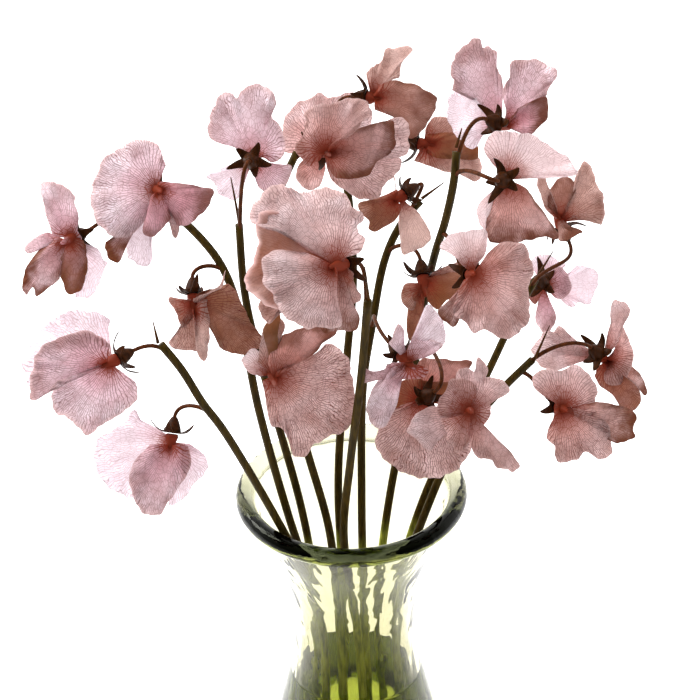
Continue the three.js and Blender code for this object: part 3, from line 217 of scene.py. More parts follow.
# Each bloom: its stem, its finish, the calyx's mouth in mm, and the way the calyx points as seen from the
# front
PLACES = {
    "left_upper": ["low_left", "petal_pale", [-85.5, -43.3, 285.7], [-0.8, -0.4, 0.3]],
    "left_lower": ["low_left", "petal_pale", [-68.7, -35.2, 246], [-0.15, -0.95, 0.1]],
    "far_left": ["far_left", "petal_pale", [-106, 18, 305], [-0.5, -0.3, 0.8]],
    "left_disc": ["far_left", "petal_pale", [-71, 0, 334], [0.25, -0.15, 0.95]],
    "left_hanging": ["far_left", "petal_russet", [-59, -9, 293], [0.05, -0.95, 0.2]],
    "upright_left": ["upright_left", "petal_pale", [-35, 14, 338], [0.1, 0.1, -0.95]],
    "back_left": ["back_left", "petal_rose", [-8, 50, 325], [0.2, 0, -0.95]],
    "low_middle": ["back_left", "petal_rose", [-29, -26, 268], [0.1, -0.6, 0.75]],
    "hooded": ["back_middle", "petal_rose", [-8, 5, 346], [0.4, -0.3, 0.85]],
    "top_middle": ["back_middle", "petal_russet", [10, 34, 354], [0.85, -0.1, 0.3]],
    "back_middle": ["back_middle", "petal_russet", [30, 40, 331], [0.9, -0.2, 0.2]],
    "centre": ["front_middle", "petal_rose", [0, -57, 331], [-0.5, -0.1, 0.85]],
    "inner_top": ["bending", "petal_russet", [24, 16, 321], [-0.8, -0.5, 0.2]],
    "inner_middle": ["bending", "petal_russet", [30, -1, 294], [0.1, -0.9, 0.3]],
    "inner_low": ["bending", "petal_pale", [20, -28, 275], [0.55, -0.6, 0.5]],
    "top_right": ["tall_right", "petal_pale", [59, 14, 351], [0.65, -0.2, -0.75]],
    "right_upper": ["tall_right", "petal_rose", [60, -10, 339], [0.4, 0.1, -0.9]],
    "right_disc": ["tall_right", "petal_rose", [47, -25, 307], [0.1, 0.1, 0.95]],
    "low_fan": ["tall_right", "petal_rose", [30, -24, 252], [-0.5, -0.35, -0.75]],
    "low_ruffle": ["low_right", "petal_rose", [46, -36, 252], [0, 0.2, 0.95]],
    "right_side": ["back_right", "petal_russet", [87, 24, 300], [-0.4, 0.8, 0.35]],
    "back_right": ["back_right", "petal_pale", [82, 45, 263], [0.3, -0.3, -0.9]],
    "right_middle": ["low_right", "petal_rose", [98, -14, 264], [0.5, -0.4, -0.75]],
    "right_low": ["low_right", "petal_rose", [81, -34, 253], [0.3, -0.2, 0.9]],
}

# Each bloom's petals, from the lowest up. A petal is [look, camber, ruffle, margin]. look is a line of
# LOOKS. camber is how far the blade bulges towards the front and ruffle how high the margin waves, in mm.
# margin is the points that the margin runs through, clockwise or anticlockwise from one side of the claw to
# the other, as [right, rise, near] in mm from the calyx's mouth, as seen from the front.
PETALS = {
    "left_upper": [
        ["white", -2, 1, [[0, 12, -7], [-7.8, 16.8, -8], [-20, 17.9, -8], [-27.6, 13.4, -8], [-34, 6, -6],
            [-36.5, -0.7, -4], [-34, -10, -2]]],
        ["pale", 2, 1.4, [[7, -8.6, 0], [6.3, -15.7, 2], [-0.4, -21.3, 4], [-7, -24.6, 4], [-12.3, -28, 3],
            [-17.5, -22.4, 5], [-23.9, -18.7, 4], [-24.6, -12, 3], [-19, -6, 3]]],
        ["rosy", 3, 1.2, [[-2, 5.6, 6], [-9, 10.5, 9], [-19, 9.3, 10], [-27.6, 4.9, 8], [-32, -5.2, 4],
            [-32, -15, 3], [-26.5, -12, 6], [-21, -7, 8], [-14.5, -4.9, 6]]],
    ],
    "left_lower": [
        ["white", -2, 1, [[-2.7, 9.3, -4], [-12.4, 10.5, -4], [-21, 3, -3], [-30, -2.7, -2],
            [-30.3, -11.3, -1], [-26.8, -19, 0], [-20.2, -23.7, 0], [-14, -25.2, 2]]],
        ["white", 1, 1, [[6.2, -4.3, -3], [12.4, -10, -4], [12.4, -15, -5], [7, -21.3, -5], [1.6, -27, -4],
            [-2.7, -28.3, -2]]],
        ["rosy", 3, 1.2, [[-8.5, -3.9, 3], [-15, -11, 5], [-16.3, -19, 6], [-14.7, -26, 5],
            [-12.4, -29.9, 4], [-5.8, -31.4, 4], [-1.6, -26, 6], [3.9, -18.2, 6], [7.4, -11.3, 4],
            [5.8, -4.7, 2]]],
    ],
    "far_left": [
        ["white", 1, 1, [[6.3, -2.8, -3], [10.7, -3.6, -4], [11.9, -8.7, -4], [9.5, -15.4, -3],
            [8.3, -19.4, -2], [3.6, -24.5, -1], [-1.6, -24.1, 0]]],
        ["pale", 2, 1.2, [[-8.7, 0, 2], [-11.5, 10.3, 3], [-13, 20.5, 4], [-9.5, 21.7, 3], [-3.2, 19.4, 2],
            [2.4, 13, 0], [5.5, 7, -2], [6.3, 0.4, -2]]],
        ["scorched", 2, 1.2, [[-7.1, -1.6, 3], [-7.5, -8.7, 4], [-5.5, -17.4, 5], [-3.2, -22.9, 4],
            [1.6, -21.3, 4], [4, -15.4, 3], [4.7, -7.5, 1], [5.9, -0.8, 0]]],
        ["pale", 1, 0.6, [[-7.5, 0, 2], [-10.3, 1.6, 3], [-16.2, -0.4, 4], [-19.8, -4, 4], [-18.2, -6.7, 5],
            [-12, -4, 4]]],
        ["tipped", 2, 1, [[-9.5, -1.6, 4], [-14.2, -5.5, 6], [-18.6, -11.5, 7], [-20.5, -18.2, 7],
            [-19.8, -22.9, 6], [-16.6, -19.4, 6], [-15.8, -23.3, 6], [-11, -20.5, 6], [-6.3, -16.6, 5]]],
    ],
    "left_disc": [
        ["white", 1, 0.6, [[-6, -10, -1], [-10.6, -16.3, -2], [-12, -25, -2], [-8, -28.4, -2],
            [-3.4, -28.8, -2], [-2.3, -26, -2], [-3, -19.3, -2], [-1, -9, -1]]],
        ["tipped", 1, 0.8, [[-9, -12, 1], [-14.4, -17.8, 1], [-19.3, -19.7, 1], [-19, -24.3, 1],
            [-15.2, -27.7, 1], [-12.9, -23, 1], [-7, -13, 1]]],
        ["pale", 2, 1.6, [[4.2, 8.7, 1], [2.7, 14, 1], [0.8, 17, 1], [-6, 18.6, 1], [-13.6, 15.5, 1],
            [-19.3, 11, 1.5], [-22.4, 5.3, 2], [-24.6, -0.4, 2], [-24.3, -6, 2], [-22, -12.5, 3],
            [-18.6, -16.3, 3], [-13.6, -18.6, 3], [-9.9, -17.4, 3], [-6, -13.6, 3], [-3.4, -9.9, 3]]],
        ["dusky", 3, 0.8, [[1.5, 3, 3], [9, 1.9, 4], [16.7, 0, 5], [22, -1, 5], [20.5, -6.8, 5],
            [16.7, -10.2, 6], [13.6, -13.3, 6], [9, -14.8, 5], [6, -11, 4]]],
        ["tan", 1, 0.3, [[4, -7, 5], [6, -12.5, 5], [6, -17.8, 5], [7.6, -19, 5], [9, -14.8, 5],
            [8, -8, 5]]],
        ["dusky", 3, 0.6, [[-1.5, -4.2, 4], [-4.2, -12.5, 6], [-4.5, -17, 7], [-0.4, -18.2, 7],
            [3.4, -14.8, 7], [6, -11.4, 6], [5.3, -6, 5]]],
    ],
    "left_hanging": [
        ["veined", 1, 1, [[-2, -6, 0], [-4, -12.7, 1], [-9.6, -18.5, 3], [-9, -20.5, 3], [-7, -21.2, 3],
            [-1.2, -22, 2], [1.5, -21.6, 2], [1.6, -10, 1]]],
        ["russet", 3, 1.4, [[3.9, 11.2, 0], [10.4, 5.4, 2], [15, 2.7, 3], [18.1, -2.3, 4], [20.8, -8.1, 4],
            [23.9, -14.7, 4], [26.6, -18, 3], [26.4, -21, 3], [23.9, -22.4, 3], [17.4, -23.9, 4],
            [13, -22.5, 4], [9.6, -20.5, 3], [7.7, -15.8, 3], [6.2, -12, 2]]],
        ["veined", 1, 1, [[-2, 3, 2], [-5.5, 1, 3], [-9.3, -1.5, 4], [-8.5, -4, 4], [-6.9, -6.9, 4],
            [-3.9, -12.7, 4], [0, -9, 3], [1.9, -5, 2]]],
        ["pale", 1, 0.6, [[0, 6, 2], [2.3, 13, 3], [7, 15, 4], [12, 15, 5], [13, 14, 5], [11, 9.3, 5],
            [8.5, 6.2, 4]]],
        ["pale", 2, 0.6, [[0.8, -6, 4], [1.5, -14, 5], [1.2, -22, 6], [2.7, -26, 6], [5.4, -22.4, 7],
            [7, -17.8, 7], [6.6, -13.9, 6], [5.8, -6, 5], [5.4, 1.5, 4]]],
    ],
    "upright_left": [
        ["pale", -3, 1.6, [[-4.2, 5, -3], [-15, 8.4, 0], [-16.5, 11.5, 0], [-15.4, 16, -1], [-16, 17.7, 0],
            [-13.8, 21, 0], [-11.9, 25, -1], [-7.3, 26.5, -1], [-5, 24.2, -2], [-2.3, 28, -1],
            [4.2, 29.2, 0], [8, 26.9, 0], [10.4, 22.3, 0], [8, 17.7, -2], [11.1, 13.4, -1], [12.7, 9.6, 0],
            [12.7, 1.9, 0], [8, -0.8, -2], [4.2, 1.9, -3]]],
        ["white", -1, 1, [[-4, 0, -5], [-7.3, -0.8, -5], [-17.7, -5.4, -6], [-15.4, -7.7, -6],
            [-12.7, -12.7, -7], [-8, -15, -8], [-6.1, -14.2, -8], [-2, -5, -6]]],
        ["pale", -1, 1, [[2.5, -1, -6], [9.2, -1.5, -6], [15, -1.9, -7], [14.5, -6, -8], [12.3, -9.6, -8],
            [5.8, -12.3, -8], [2.3, -10, -7], [0.5, -5, -6]]],
    ],
    "back_left": [
        ["pale", -2, 1.6, [[-8, -2, -3], [-15.8, -0.4, -1], [-16, 6, 0], [-15.4, 11.7, 0], [-9.3, 19, -1],
            [-4.4, 20.6, -1], [-0.4, 22.6, 0], [2.8, 20.6, -2], [10.9, 22.2, 0], [15, 21.8, -1],
            [19, 17, -2], [20, 10, -3], [14, 2, -3]]],
        ["rosy", -1, 1, [[-5, -2, -5], [-10, -6, -5], [-11, -12, -6], [-7, -16, -6], [-2, -15, -6],
            [1, -8, -6]]],
        ["rosy", -1, 1, [[3, 3, -5], [9, 7, -6], [15, 11, -7], [18, 8, -7], [16, 3, -7], [8, 0, -6]]],
    ],
    "low_middle": [
        ["white", 1, 0.8, [[-4.2, -2.3, 2], [-8.9, -0.8, 2], [-11.6, 3, 2], [-12, 5.8, 2], [-9.7, 7.7, 2],
            [-6.6, 8.9, 2], [-4, 7, 2]]],
        ["veined", 2, 1.6, [[-3.9, -3.9, 2], [-3, -11.6, 2], [-1.9, -19.3, 1], [-0.4, -22, 1],
            [2.7, -22.4, 2], [5.4, -27, 3], [7, -32.8, 3], [9.3, -34, 3], [12.4, -32.8, 3], [14.3, -30, 3],
            [22, -25.9, 2], [28.9, -23.2, 1], [31.7, -13.5, 1], [30.5, -3.9, 1], [28.6, 4.6, 1],
            [21.2, 9.7, 0], [18.9, 6.9, 1]]],
        ["tan", 2, 0.8, [[-6, 5, 3], [-5.8, 10, 4], [-4.2, 14.3, 5], [-0.4, 17.4, 5], [2.7, 20, 5],
            [5, 18.5, 5], [5, 15.4, 5], [1, 12, 5], [-0.5, 5, 4]]],
        ["dusky", 4, 0.8, [[-2, 6, 2], [-1.2, 9, 4], [0.8, 11.6, 6], [6.6, 14.3, 7], [14.3, 16.6, 7],
            [22, 17.4, 5], [25, 16.2, 4], [25, 13.5, 4], [19.7, 10, 5], [17.4, 6.9, 6], [10.4, 3, 7],
            [2.7, 1.5, 5]]],
        # this petal is painted shade: a sheet dark all over, put where the petals shade each other
        ["dark", 1, 0.5, [[-1, 9, 4], [-2.7, 16, 6.5], [0, 20, 7], [3, 23, 7], [3.5, 19, 7], [1.5, 15, 6]]],
    ],
    "hooded": [
        ["rosy", 2, 1, [[2, -7, 2], [3.4, -10.6, 2], [7.2, -14.4, 3], [12.9, -18.5, 3], [18, -19, 3],
            [21.5, -18, 3], [24.2, -13.2, 2], [28.7, -9.5, 1], [29.9, -3.8, 0], [20, -2, 1]]],
        ["pale", 1, 0.8, [[24, 9, 3], [27, 11, 3], [32.5, 10.6, 2], [33.3, 3.8, 2], [32.5, -1.9, 2],
            [29, -4, 2], [24, -4, 3]]],
        ["bruised", 3, 0.8, [[4, 2, 6], [12.9, 6.5, 7], [20.4, 8.7, 7], [26.8, 9.8, 6], [28, 5.7, 6],
            [27.6, 0, 6], [25.3, -2.6, 6], [21.5, -4.9, 7], [17.8, -10.2, 8], [11, -11.7, 8], [6, -11.3, 7],
            [3.4, -8.3, 5], [1.5, -3.8, 4]]],
        ["rosy", 3, 1, [[0.4, -2, 4], [-4.9, -6.2, 4], [-7.9, -3.8, 3], [-9.5, 1.9, 3], [-7.9, 8.3, 4],
            [-6.4, 13.2, 6], [-1.5, 15.9, 8], [5.3, 16.6, 9], [11, 18.5, 9], [16.6, 17.4, 9],
            [18.9, 15.1, 10], [20, 12, 10], [17, 9.8, 11], [12.9, 6, 11], [9, 3.4, 10], [5.3, 2.3, 8]]],
    ],
    "top_middle": [
        ["pale", 2, 1, [[-1, 2.5, 0], [-2.7, 3.9, 0], [-0.8, 9.7, 0], [3, 12.4, -1], [7, 15.6, -2],
            [7.8, 18.7, -2], [12.8, 20.6, -3], [18.7, 19, -3], [16, 14.8, -1], [13.6, 11.7, 0], [12.8, 7, 1],
            [9.7, 7.5, 1], [7, 5, 1]]],
        ["dusky", 3, 0.8, [[2.3, 1.5, 1], [6, 4.5, 3], [10.9, 6, 4], [14.8, 5, 4], [18.7, 4.3, 4],
            [22.6, 2, 4], [27.2, -1.2, 4], [26.5, -4.7, 5], [24.5, -8.6, 5], [22.6, -11.7, 4],
            [18.7, -16.3, 3], [16, -16.3, 3], [14, -12.4, 3], [12, -9.3, 3], [7, -6.6, 3], [3, -5, 2]]],
    ],
    "back_middle": [
        ["rosy", 1, 1, [[2.8, 3, 0], [3.5, 7, 0], [6.8, 10.3, 0], [10.7, 10.3, -1], [15.9, 9.2, -1],
            [19, 6.8, -2], [18, 3.5, -2], [10, 3, -1]]],
        ["rosy", 1, 1, [[0, -2.5, 3], [-5, -6, 3], [-2.4, -6.8, 3], [4.8, -9.6, 2], [10.7, -11.5, 2],
            [16.7, -13, 1], [22.7, -16, 0], [25.5, -10.7, 0], [24, -6, 1], [12, -4, 2]]],
        ["umber", 2, 0.8, [[2.4, 3.5, 2], [8.8, 4, 3], [15.9, 3.2, 3], [21.5, 0.8, 3], [24, -2.8, 3],
            [23, -6.8, 3], [14.7, -6.8, 4], [6.8, -6.5, 4], [3, -3.5, 3]]],
    ],
    "centre": [
        ["tan", 0, 0.6, [[-20, -7, -5], [-28, -10, -5], [-31, -12.4, -5], [-30.2, -16.7, -5],
            [-28.8, -20.2, -5], [-27, -20.2, -5], [-24.5, -16, -5], [-16, -9, -5]]],
        ["tan", 1, 1, [[0, 1, -2], [2.5, 2.5, -3], [4.6, 1, -3], [6.4, -3.6, -3], [6.7, -8.9, -3],
            [5.3, -12.4, -3], [1.8, -14.2, -2], [-1.8, -13.1, -2], [-3.6, -10.7, -2]]],
        ["tipped", 1, 1.2, [[1, -6, -3], [2.5, -14, -3], [4.6, -18.8, -3], [4.3, -21.3, -3],
            [2.5, -23.8, -3], [-4, -23.5, -3], [-8, -24, -3], [-10, -20, -3], [-6, -10, -3]]],
        ["pale", 2, 2, [[-11.7, 4.6, 3], [-21.3, 11.4, 3], [-29.5, 13.8, 4], [-33, 16.7, 4], [-31.6, 22, 3],
            [-28.4, 25.6, 2], [-23, 28.8, 1], [-18.8, 27.7, 1], [-14.9, 25.9, 0], [-8.2, 27.3, 0],
            [-3.6, 26.6, 0], [0, 24.5, 0], [3.6, 20.6, 0], [7.5, 15.3, -1], [9.6, 7.5, -2], [8.9, 4.6, -2],
            [1.8, 2.8, 0]]],
        # this petal's brown body is painted shade, a shaded inner face, and its pale rim a painted highlight
        ["hollow", -4, 0.8, [[-20, 15, 2], [-23.8, 19.5, 4], [-29.5, 18.5, 5], [-31, 14.2, 4],
            [-30.5, 7.8, 3], [-33, 0.7, 3], [-35.9, -5.3, 3], [-32.7, -9.9, 3], [-27.3, -14.2, 3],
            [-23, -15.6, 3], [-14, -10, 2]]],
        ["pale", 5, 1.2, [[-2.8, -3.6, 4], [-3.2, -12.4, 5], [-1.8, -19.5, 5], [-2.5, -22.4, 4],
            [-9.6, -22, 5], [-13.5, -22.4, 5], [-19.5, -19.5, 6], [-23, -16.7, 6], [-25.9, -9.6, 7],
            [-28.4, -7.1, 7], [-29, -1.8, 7], [-28.8, 2.5, 7], [-24.9, 5.3, 6], [-14.2, 4.6, 4]]],
    ],
    "inner_top": [
        ["white", 1, 0.8, [[-2, -4.3, -1], [-2.7, -10.9, -1], [-2.3, -17.9, 0], [-1.6, -23.4, 0],
            [2.7, -22.6, 0], [6.6, -20.7, 0], [9.8, -17.9, 0], [8.6, -13.3, -1], [5.9, -8.2, -1],
            [3.1, -4.3, -1]]],
        ["white", 1, 0.4, [[-1.2, 3.5, -1], [-1.6, 11.3, -2], [-0.4, 14, -2], [2.7, 11.3, -2],
            [1.2, 6.2, -2], [2.7, 2.3, -1]]],
        ["russet", 3, 0.8, [[-2.7, 2, 2], [-7.8, -0.4, 3], [-13.7, -2.3, 4], [-18.3, -3.5, 4],
            [-17.6, -7, 4], [-14.4, -10.9, 4], [-14.4, -13.3, 4], [-11.7, -14.4, 4], [-7.8, -12.5, 4],
            [-3.9, -10.1, 3], [-1.6, -6.2, 2]]],
    ],
    "inner_middle": [
        ["rosy", 1, 0.6, [[2.7, 3, -1], [4, 9, -1], [8, 10, -1], [12, 7.5, -2], [16, 3, -2], [14.5, 0.8, -2],
            [10, -0.8, -1], [5, 0, 0]]],
        ["umber", 2, 0.8, [[2.7, 2.3, 0], [8.2, 1.2, 1], [14.4, 0, 1], [15.2, -4.3, 1], [12.9, -9, 1],
            [9, -10.1, 2], [5.5, -13.3, 2], [1.6, -10.1, 2]]],
        ["tan", 2, 0.8, [[-3.1, -2.3, 1], [-6.2, -2.7, 1], [-8.2, -5, 2], [-8.6, -7.8, 2], [-7.8, -10.9, 2],
            [-6.2, -13.3, 2], [-4.3, -13.6, 2], [-2.7, -10.1, 1]]],
        ["russet", 1, 0.6, [[-3, -4, 1], [-6, -13, 2], [-6.8, -19, 2], [-5.9, -25, 2], [-3.5, -25, 2],
            [-1.2, -23.4, 2], [0, -17, 2], [-1, -8, 1]]],
    ],
    "inner_low": [
        ["white", 2, 0.8, [[6, 6, 1], [9.2, 16, 1], [10.7, 18.4, 1], [12.3, 18, 1], [15.3, 14.6, 1],
            [17.2, 10.3, 2], [17.6, 6.5, 2], [16.5, 3.4, 2], [8, 3, 2]]],
        ["pale", 0, 0.3, [[-3, 5, 2], [-2.7, 9, 3], [-2.9, 12.3, 3], [-6.9, 18.8, 3], [-8.8, 13, 3],
            [-8.4, 9.2, 3], [-6, 6, 2]]],
        ["pale", 3, 1, [[-5, -6, 2], [-9.6, -11, 3], [-12.6, -16.9, 4], [-13.4, -21.4, 4], [-11.9, -25.7, 4],
            [-8.8, -28.3, 4], [-6.9, -28, 4], [-3.8, -23.4, 4], [-1.1, -16.9, 4], [-0.8, -9, 3]]],
        ["pale", 2, 0.8, [[1.9, 5, 3], [7.7, 6.5, 4], [12.3, 5, 5], [16.5, 3, 5], [14.6, 0.8, 5],
            [10.7, -1.1, 5], [5.7, -2.3, 4], [1.1, -2.7, 3]]],
        ["veined", 1, 0.8, [[-3, -1, 4], [-9, -3.5, 4], [-14.5, -5, 4], [-15.3, -8, 4], [-14, -10.5, 4],
            [-8, -9.5, 5], [0, -9.5, 5], [8, -9.5, 5], [10.7, -7, 5], [9, -5, 5], [3, -3.5, 4]]],
    ],
    "top_right": [
        ["white", 3, 0.8, [[-3, 5, -6], [-8, 12, -9], [-15.6, 13, -11], [-17.9, 6.5, -12], [-17.9, 2.7, -12],
            [-16, -1.1, -12], [-14, -4.2, -11], [-8.8, -8.8, -10], [-6.5, -7.3, -9], [-5, -3, -7]]],
        ["rosy", -3, 1.6, [[-4, 6, -1], [-13.3, 13, -3], [-16.4, 13.3, -3], [-15.6, 16, -4],
            [-16.8, 20.6, -4], [-14.9, 27, -5], [-10.3, 31, -6], [-5.3, 33, -6], [-4.2, 29.7, -5],
            [-1.9, 30.5, -5], [1.1, 28.2, -5], [0.8, 23.6, -4], [1.9, 19, -3], [3, 14, -2], [2.5, 8, -1]]],
        ["rosy", 2, 1, [[2.5, 5, 1], [3, 14, 1], [5.3, 17, 2], [5.7, 22.5, 2], [10.7, 23.6, 3],
            [16.4, 23.2, 3], [21.3, 20.2, 3], [23.2, 19, 3], [23.2, 16.8, 3], [20.2, 13, 3], [18.5, 9, 3],
            [12, 5, 2], [6, 2, 1]]],
        ["bruised", 3, 0.8, [[3, 3, 2], [12, 7, 4], [18.5, 9, 4], [19.4, 6.5, 4], [19.4, 3.8, 4],
            [18.7, 0.8, 4], [16.4, -1.5, 4], [12.6, -4.6, 4], [9.9, -4.6, 4], [6.9, -3.4, 3],
            [3.5, -1.5, 2]]],
    ],
    "right_upper": [
        ["white", -3, 1.2, [[-2, 4, -3], [-4.8, 7.5, -2], [-7, 11.2, -1], [-6.3, 14.9, -1], [-2.2, 18.3, -1],
            [6.3, 17.5, -2], [11.2, 16.8, -2], [15.7, 13.8, -2], [21.3, 9.7, -1], [24.6, 7.5, -1],
            [27.2, 1.5, 0], [21.3, 0.5, -2], [10, 0.5, -3]]],
        ["bruised", 3, 0.8, [[-2, -4, -4], [-4.1, -8.6, -4], [-6, -13, -4], [-6.7, -17.9, -4],
            [-5.6, -22.4, -4], [-1.1, -23.5, -4], [4.5, -23.5, -4], [10, -22.4, -4], [15.7, -21.6, -5],
            [20.1, -22.4, -6], [19.8, -19.4, -6], [15.7, -13, -6], [11.9, -7.5, -5], [9, -3.5, -4]]],
        ["white", 1, 0.6, [[-2.5, -2, -6], [-4.8, -4.5, -6], [-8.6, -7.5, -7], [-10, -11.9, -7],
            [-8.6, -16.4, -7], [-6, -18.7, -7], [-3.5, -13, -6]]],
    ],
    "right_disc": [
        ["tipped", 1, 1, [[-4, -6, 1], [-9.8, -10.5, 1], [-12.8, -13.1, 1], [-9.8, -17.6, 1],
            [-6.8, -19.1, 1], [-5.3, -17.6, 1], [-2.5, -9, 1]]],
        ["white", 2, 0.8, [[-3.4, 4, 1], [-7.1, 8.6, 1], [-11.3, 10.5, 1], [-9, 14.3, 1], [-4.1, 16.1, 1],
            [1.5, 16.9, 1], [6, 16.9, 1], [6.4, 12, 1], [5.3, 7.5, 2], [1.5, 3.5, 2]]],
        ["rosy", 2, 1.8, [[6.4, 8, 3], [12, 12, 2], [18.8, 11.3, 2], [21.8, 8.3, 2], [22.5, 3.8, 3],
            [23.6, 0, 3], [21.8, -3, 3], [21.4, -13.1, 3], [21.4, -17.6, 3], [15.8, -22.9, 3],
            [12.8, -24.4, 3], [9.8, -23.6, 3], [6.4, -21.4, 3], [2.6, -20.6, 3], [0.4, -21.8, 3],
            [-3, -16.9, 3], [-6, -15.8, 3], [-7.1, -13.9, 3], [-4.9, -5.6, 3], [-3, -1.9, 3]]],
    ],
    "low_fan": [
        ["veined", 2, 1.8, [[-10, -3, -3], [-16, -7.8, -3], [-19.9, -15.6, -2], [-19.6, -19.6, -2],
            [-14, -26.2, -1], [-6.3, -30.5, 0], [1.6, -31.7, 0], [9.4, -29.7, 0], [14.5, -25.8, -1],
            [18, -18.4, -2], [16.4, -12.5, -3], [9, -5, -3]]],
        ["umber", 1, 0.8, [[-12, -6, -3], [-14, 3, -3], [-8, 7, -4], [-3, 7.5, -4], [8, 6, -4], [16, 7, -5],
            [17, 2, -5], [14, -4, -4]]],
        ["dusky", 1, 0.8, [[-4, 5, -5], [-1.6, 14.5, -6], [5.5, 14.9, -6], [13.3, 14, -6], [19.2, 13.7, -6],
            [17.2, 10.2, -6], [11.3, 6, -6]]],
    ],
    "low_ruffle": [
        ["pale", 2, 1, [[-6, 1, 0], [-10.8, 2.3, -1], [-14.7, 2.8, -2], [-20.5, -0.4, -3], [-23.5, -6.2, -3],
            [-21.2, -8.9, -3], [-18.5, -12, -3], [-15.4, -14.7, -3], [-12, -10, -2], [-9, -6, -1]]],
        ["pale", 1, 1, [[-3, 9, -3], [-4.2, 14.3, -3], [-3, 17, -3], [0.8, 17.4, -3], [3, 16.2, -3],
            [3.9, 20.5, -4], [5, 21.6, -4], [8.1, 17, -4], [7.3, 13.9, -3], [4, 8, -3]]],
        ["pale", 1, 1, [[3.9, 13, -2], [8.5, 13.9, -3], [12.4, 12.4, -3], [16.2, 8.1, -3], [14.7, 6.6, -3],
            [11.2, 5, -2], [8.5, 3.5, -1], [8, -2, 1], [6, -4.5, 2], [2, -3, 2]]],
        ["rosy", 2, 1, [[-4, -1, 4], [-12, 0.5, 4], [-11.5, 5.4, 3], [-8.1, 10, 2], [-6.9, 13.1, 2],
            [-3, 13.9, 2], [1.5, 12.4, 2], [3.5, 10, 2], [1, 4, 4]]],
        ["rosy", 2, 0.8, [[1, -4, 3], [4.6, -5.4, 3], [7.3, -7.3, 3], [12.4, -12, 2], [19.3, -20.5, 1],
            [16.6, -23.2, 1], [14.3, -21.6, 2], [9.7, -20.8, 4], [8.5, -17.8, 4], [3, -17, 4],
            [0.8, -13.9, 4], [-0.8, -8, 4]]],
        ["veined", 2, 1, [[-5, -2, 6], [-10.8, -1.5, 6], [-8.9, -6.9, 7], [-9.3, -9.3, 7], [-6.9, -11.2, 7],
            [-6.2, -13.9, 7], [-3.9, -14.3, 7], [-1.9, -12, 7], [0, -9.3, 6], [-0.6, -4.2, 5]]],
    ],
    "right_side": [
        ["rosy", 3, 1.2, [[2, 6.8, 3], [5.2, 19.6, 4], [6.4, 22.7, 4], [8.4, 25.5, 3], [11.2, 24.3, 3],
            [12.8, 20.7, 3], [14.4, 16, 3], [16, 11.6, 4], [16.4, 6.8, 4], [14.8, 0, 4], [11.2, 2, 4],
            [4, 4.5, 3]]],
        ["dusky", 2, 1, [[-3, 5, 4], [-8, 10.8, 5], [-5.6, 14.8, 5], [-0.8, 19.6, 5], [4, 18.8, 5],
            [5, 14.8, 4], [1, 7, 3]]],
        ["pale", 1, 0.6, [[-3, 3, 6], [-7, 8, 7], [-10, 14, 7], [-9.6, 21, 7], [-8, 22, 7], [-6.5, 17, 7],
            [-3, 8, 6]]],
        ["bruised", 1, 0.6, [[0.4, -3, 6], [5.2, -6.4, 7], [10.4, -9.6, 7], [8.4, -13.6, 7], [3.2, -15.6, 7],
            [0.8, -12, 7], [-0.8, -6, 6]]],
    ],
    "back_right": [
        ["russet", 1, 0.8, [[-1, 2, -3], [-5, 1.3, -3], [-5.9, -5, -3], [-2.9, -9.2, -3], [0, -5, -3]]],
        ["rosy", 1, 1, [[1.3, -4, -3], [4.2, -9.2, -3], [5.9, -14.7, -3], [4.2, -19.7, -3], [1.7, -22.2, -3],
            [-2.5, -16.3, -3], [-1.5, -8, -3]]],
        ["pale", 1, 0.8, [[2, 2, -3], [5.4, 5.4, -3], [8.4, 6.3, -4], [11.3, 2.5, -4], [12.6, -2.9, -4],
            [10, -6.7, -4], [6.3, -7, -3], [2.5, -3, -3]]],
        ["white", 0, 0.8, [[-1.5, 3, -4], [-3.8, 8.8, -5], [-0.8, 11.7, -5], [3.4, 11.3, -5], [8.4, 8.8, -5],
            [11, 7, -5], [3, 3, -4]]],
        ["white", -1, 1, [[6, 0, -5], [10.9, 1, -6], [15.9, 6.7, -7], [24.3, 3.4, -7], [24.7, -0.8, -7],
            [23, -5.9, -7], [20, -10, -7], [16, -8.8, -7], [12.6, -10.9, -7], [8, -7, -6], [4, -3, -5]]],
    ],
    "right_middle": [
        ["pale", 2, 1, [[-7, 3, -8], [-18.4, 9, -10], [-24, 3, -11], [-25, 1.2, -11], [-22.7, -3.5, -10],
            [-20.8, -5.5, -10], [-15.7, -6.7, -9], [-9, -4.3, -8], [-4, -3, -7]]],
        ["pale", 3, 0.3, [[-8, 5, -8], [-14, 11, -9], [-16.5, 7, -9], [-17.6, 3, -9], [-16.5, 0.4, -9],
            [-14, -0.8, -9], [-11.8, 0, -9], [-6, 1, -8]]],
        ["pale", 1, 1, [[2.5, 4, 0], [5, 11, -1], [5.5, 16.9, -2], [6.3, 20, -2], [7.8, 21, -2],
            [12.9, 18.4, -2], [13.7, 15.3, -2], [10.6, 11, -1], [8, 4, 0]]],
        ["tipped", 1, 0.6, [[6, -3, -1], [12.5, -5, -1], [15.7, -7.4, -1], [18.4, -11.8, -1],
            [19.2, -15.3, -1], [18.4, -17.2, -1], [14.9, -12.5, -1], [8, -7, -1]]],
        ["russet", 2, 0.8, [[-1, -4, 0], [-1.5, -8.5, 0], [0.8, -12.5, 0], [5.5, -16.5, 1], [10.6, -24.7, 1],
            [13.3, -23, 1], [15.7, -20.4, 1], [16.5, -16.5, 1], [13.7, -12.5, 1], [6, -6, 1]]],
        ["rosy", 3, 1.2, [[5, 3, 2], [9.4, 11, 1], [11.4, 7, 1], [13.7, 0.4, 2], [13.3, -3.5, 3],
            [11.8, -6.7, 3], [9.4, -10.6, 3], [6.7, -12.5, 3], [2.7, -11.8, 3], [1, -6, 2]]],
    ],
    "right_low": [
        ["veined", 2, 1.8, [[-1.5, 1.5, 4], [-4.6, -9.3, 4], [-5.4, -12.4, 4], [-2.7, -15, 4],
            [-2.7, -18.9, 4], [-1.2, -21.2, 4], [5.4, -20.8, 4], [10, -17.8, 3], [14.3, -20.5, 3],
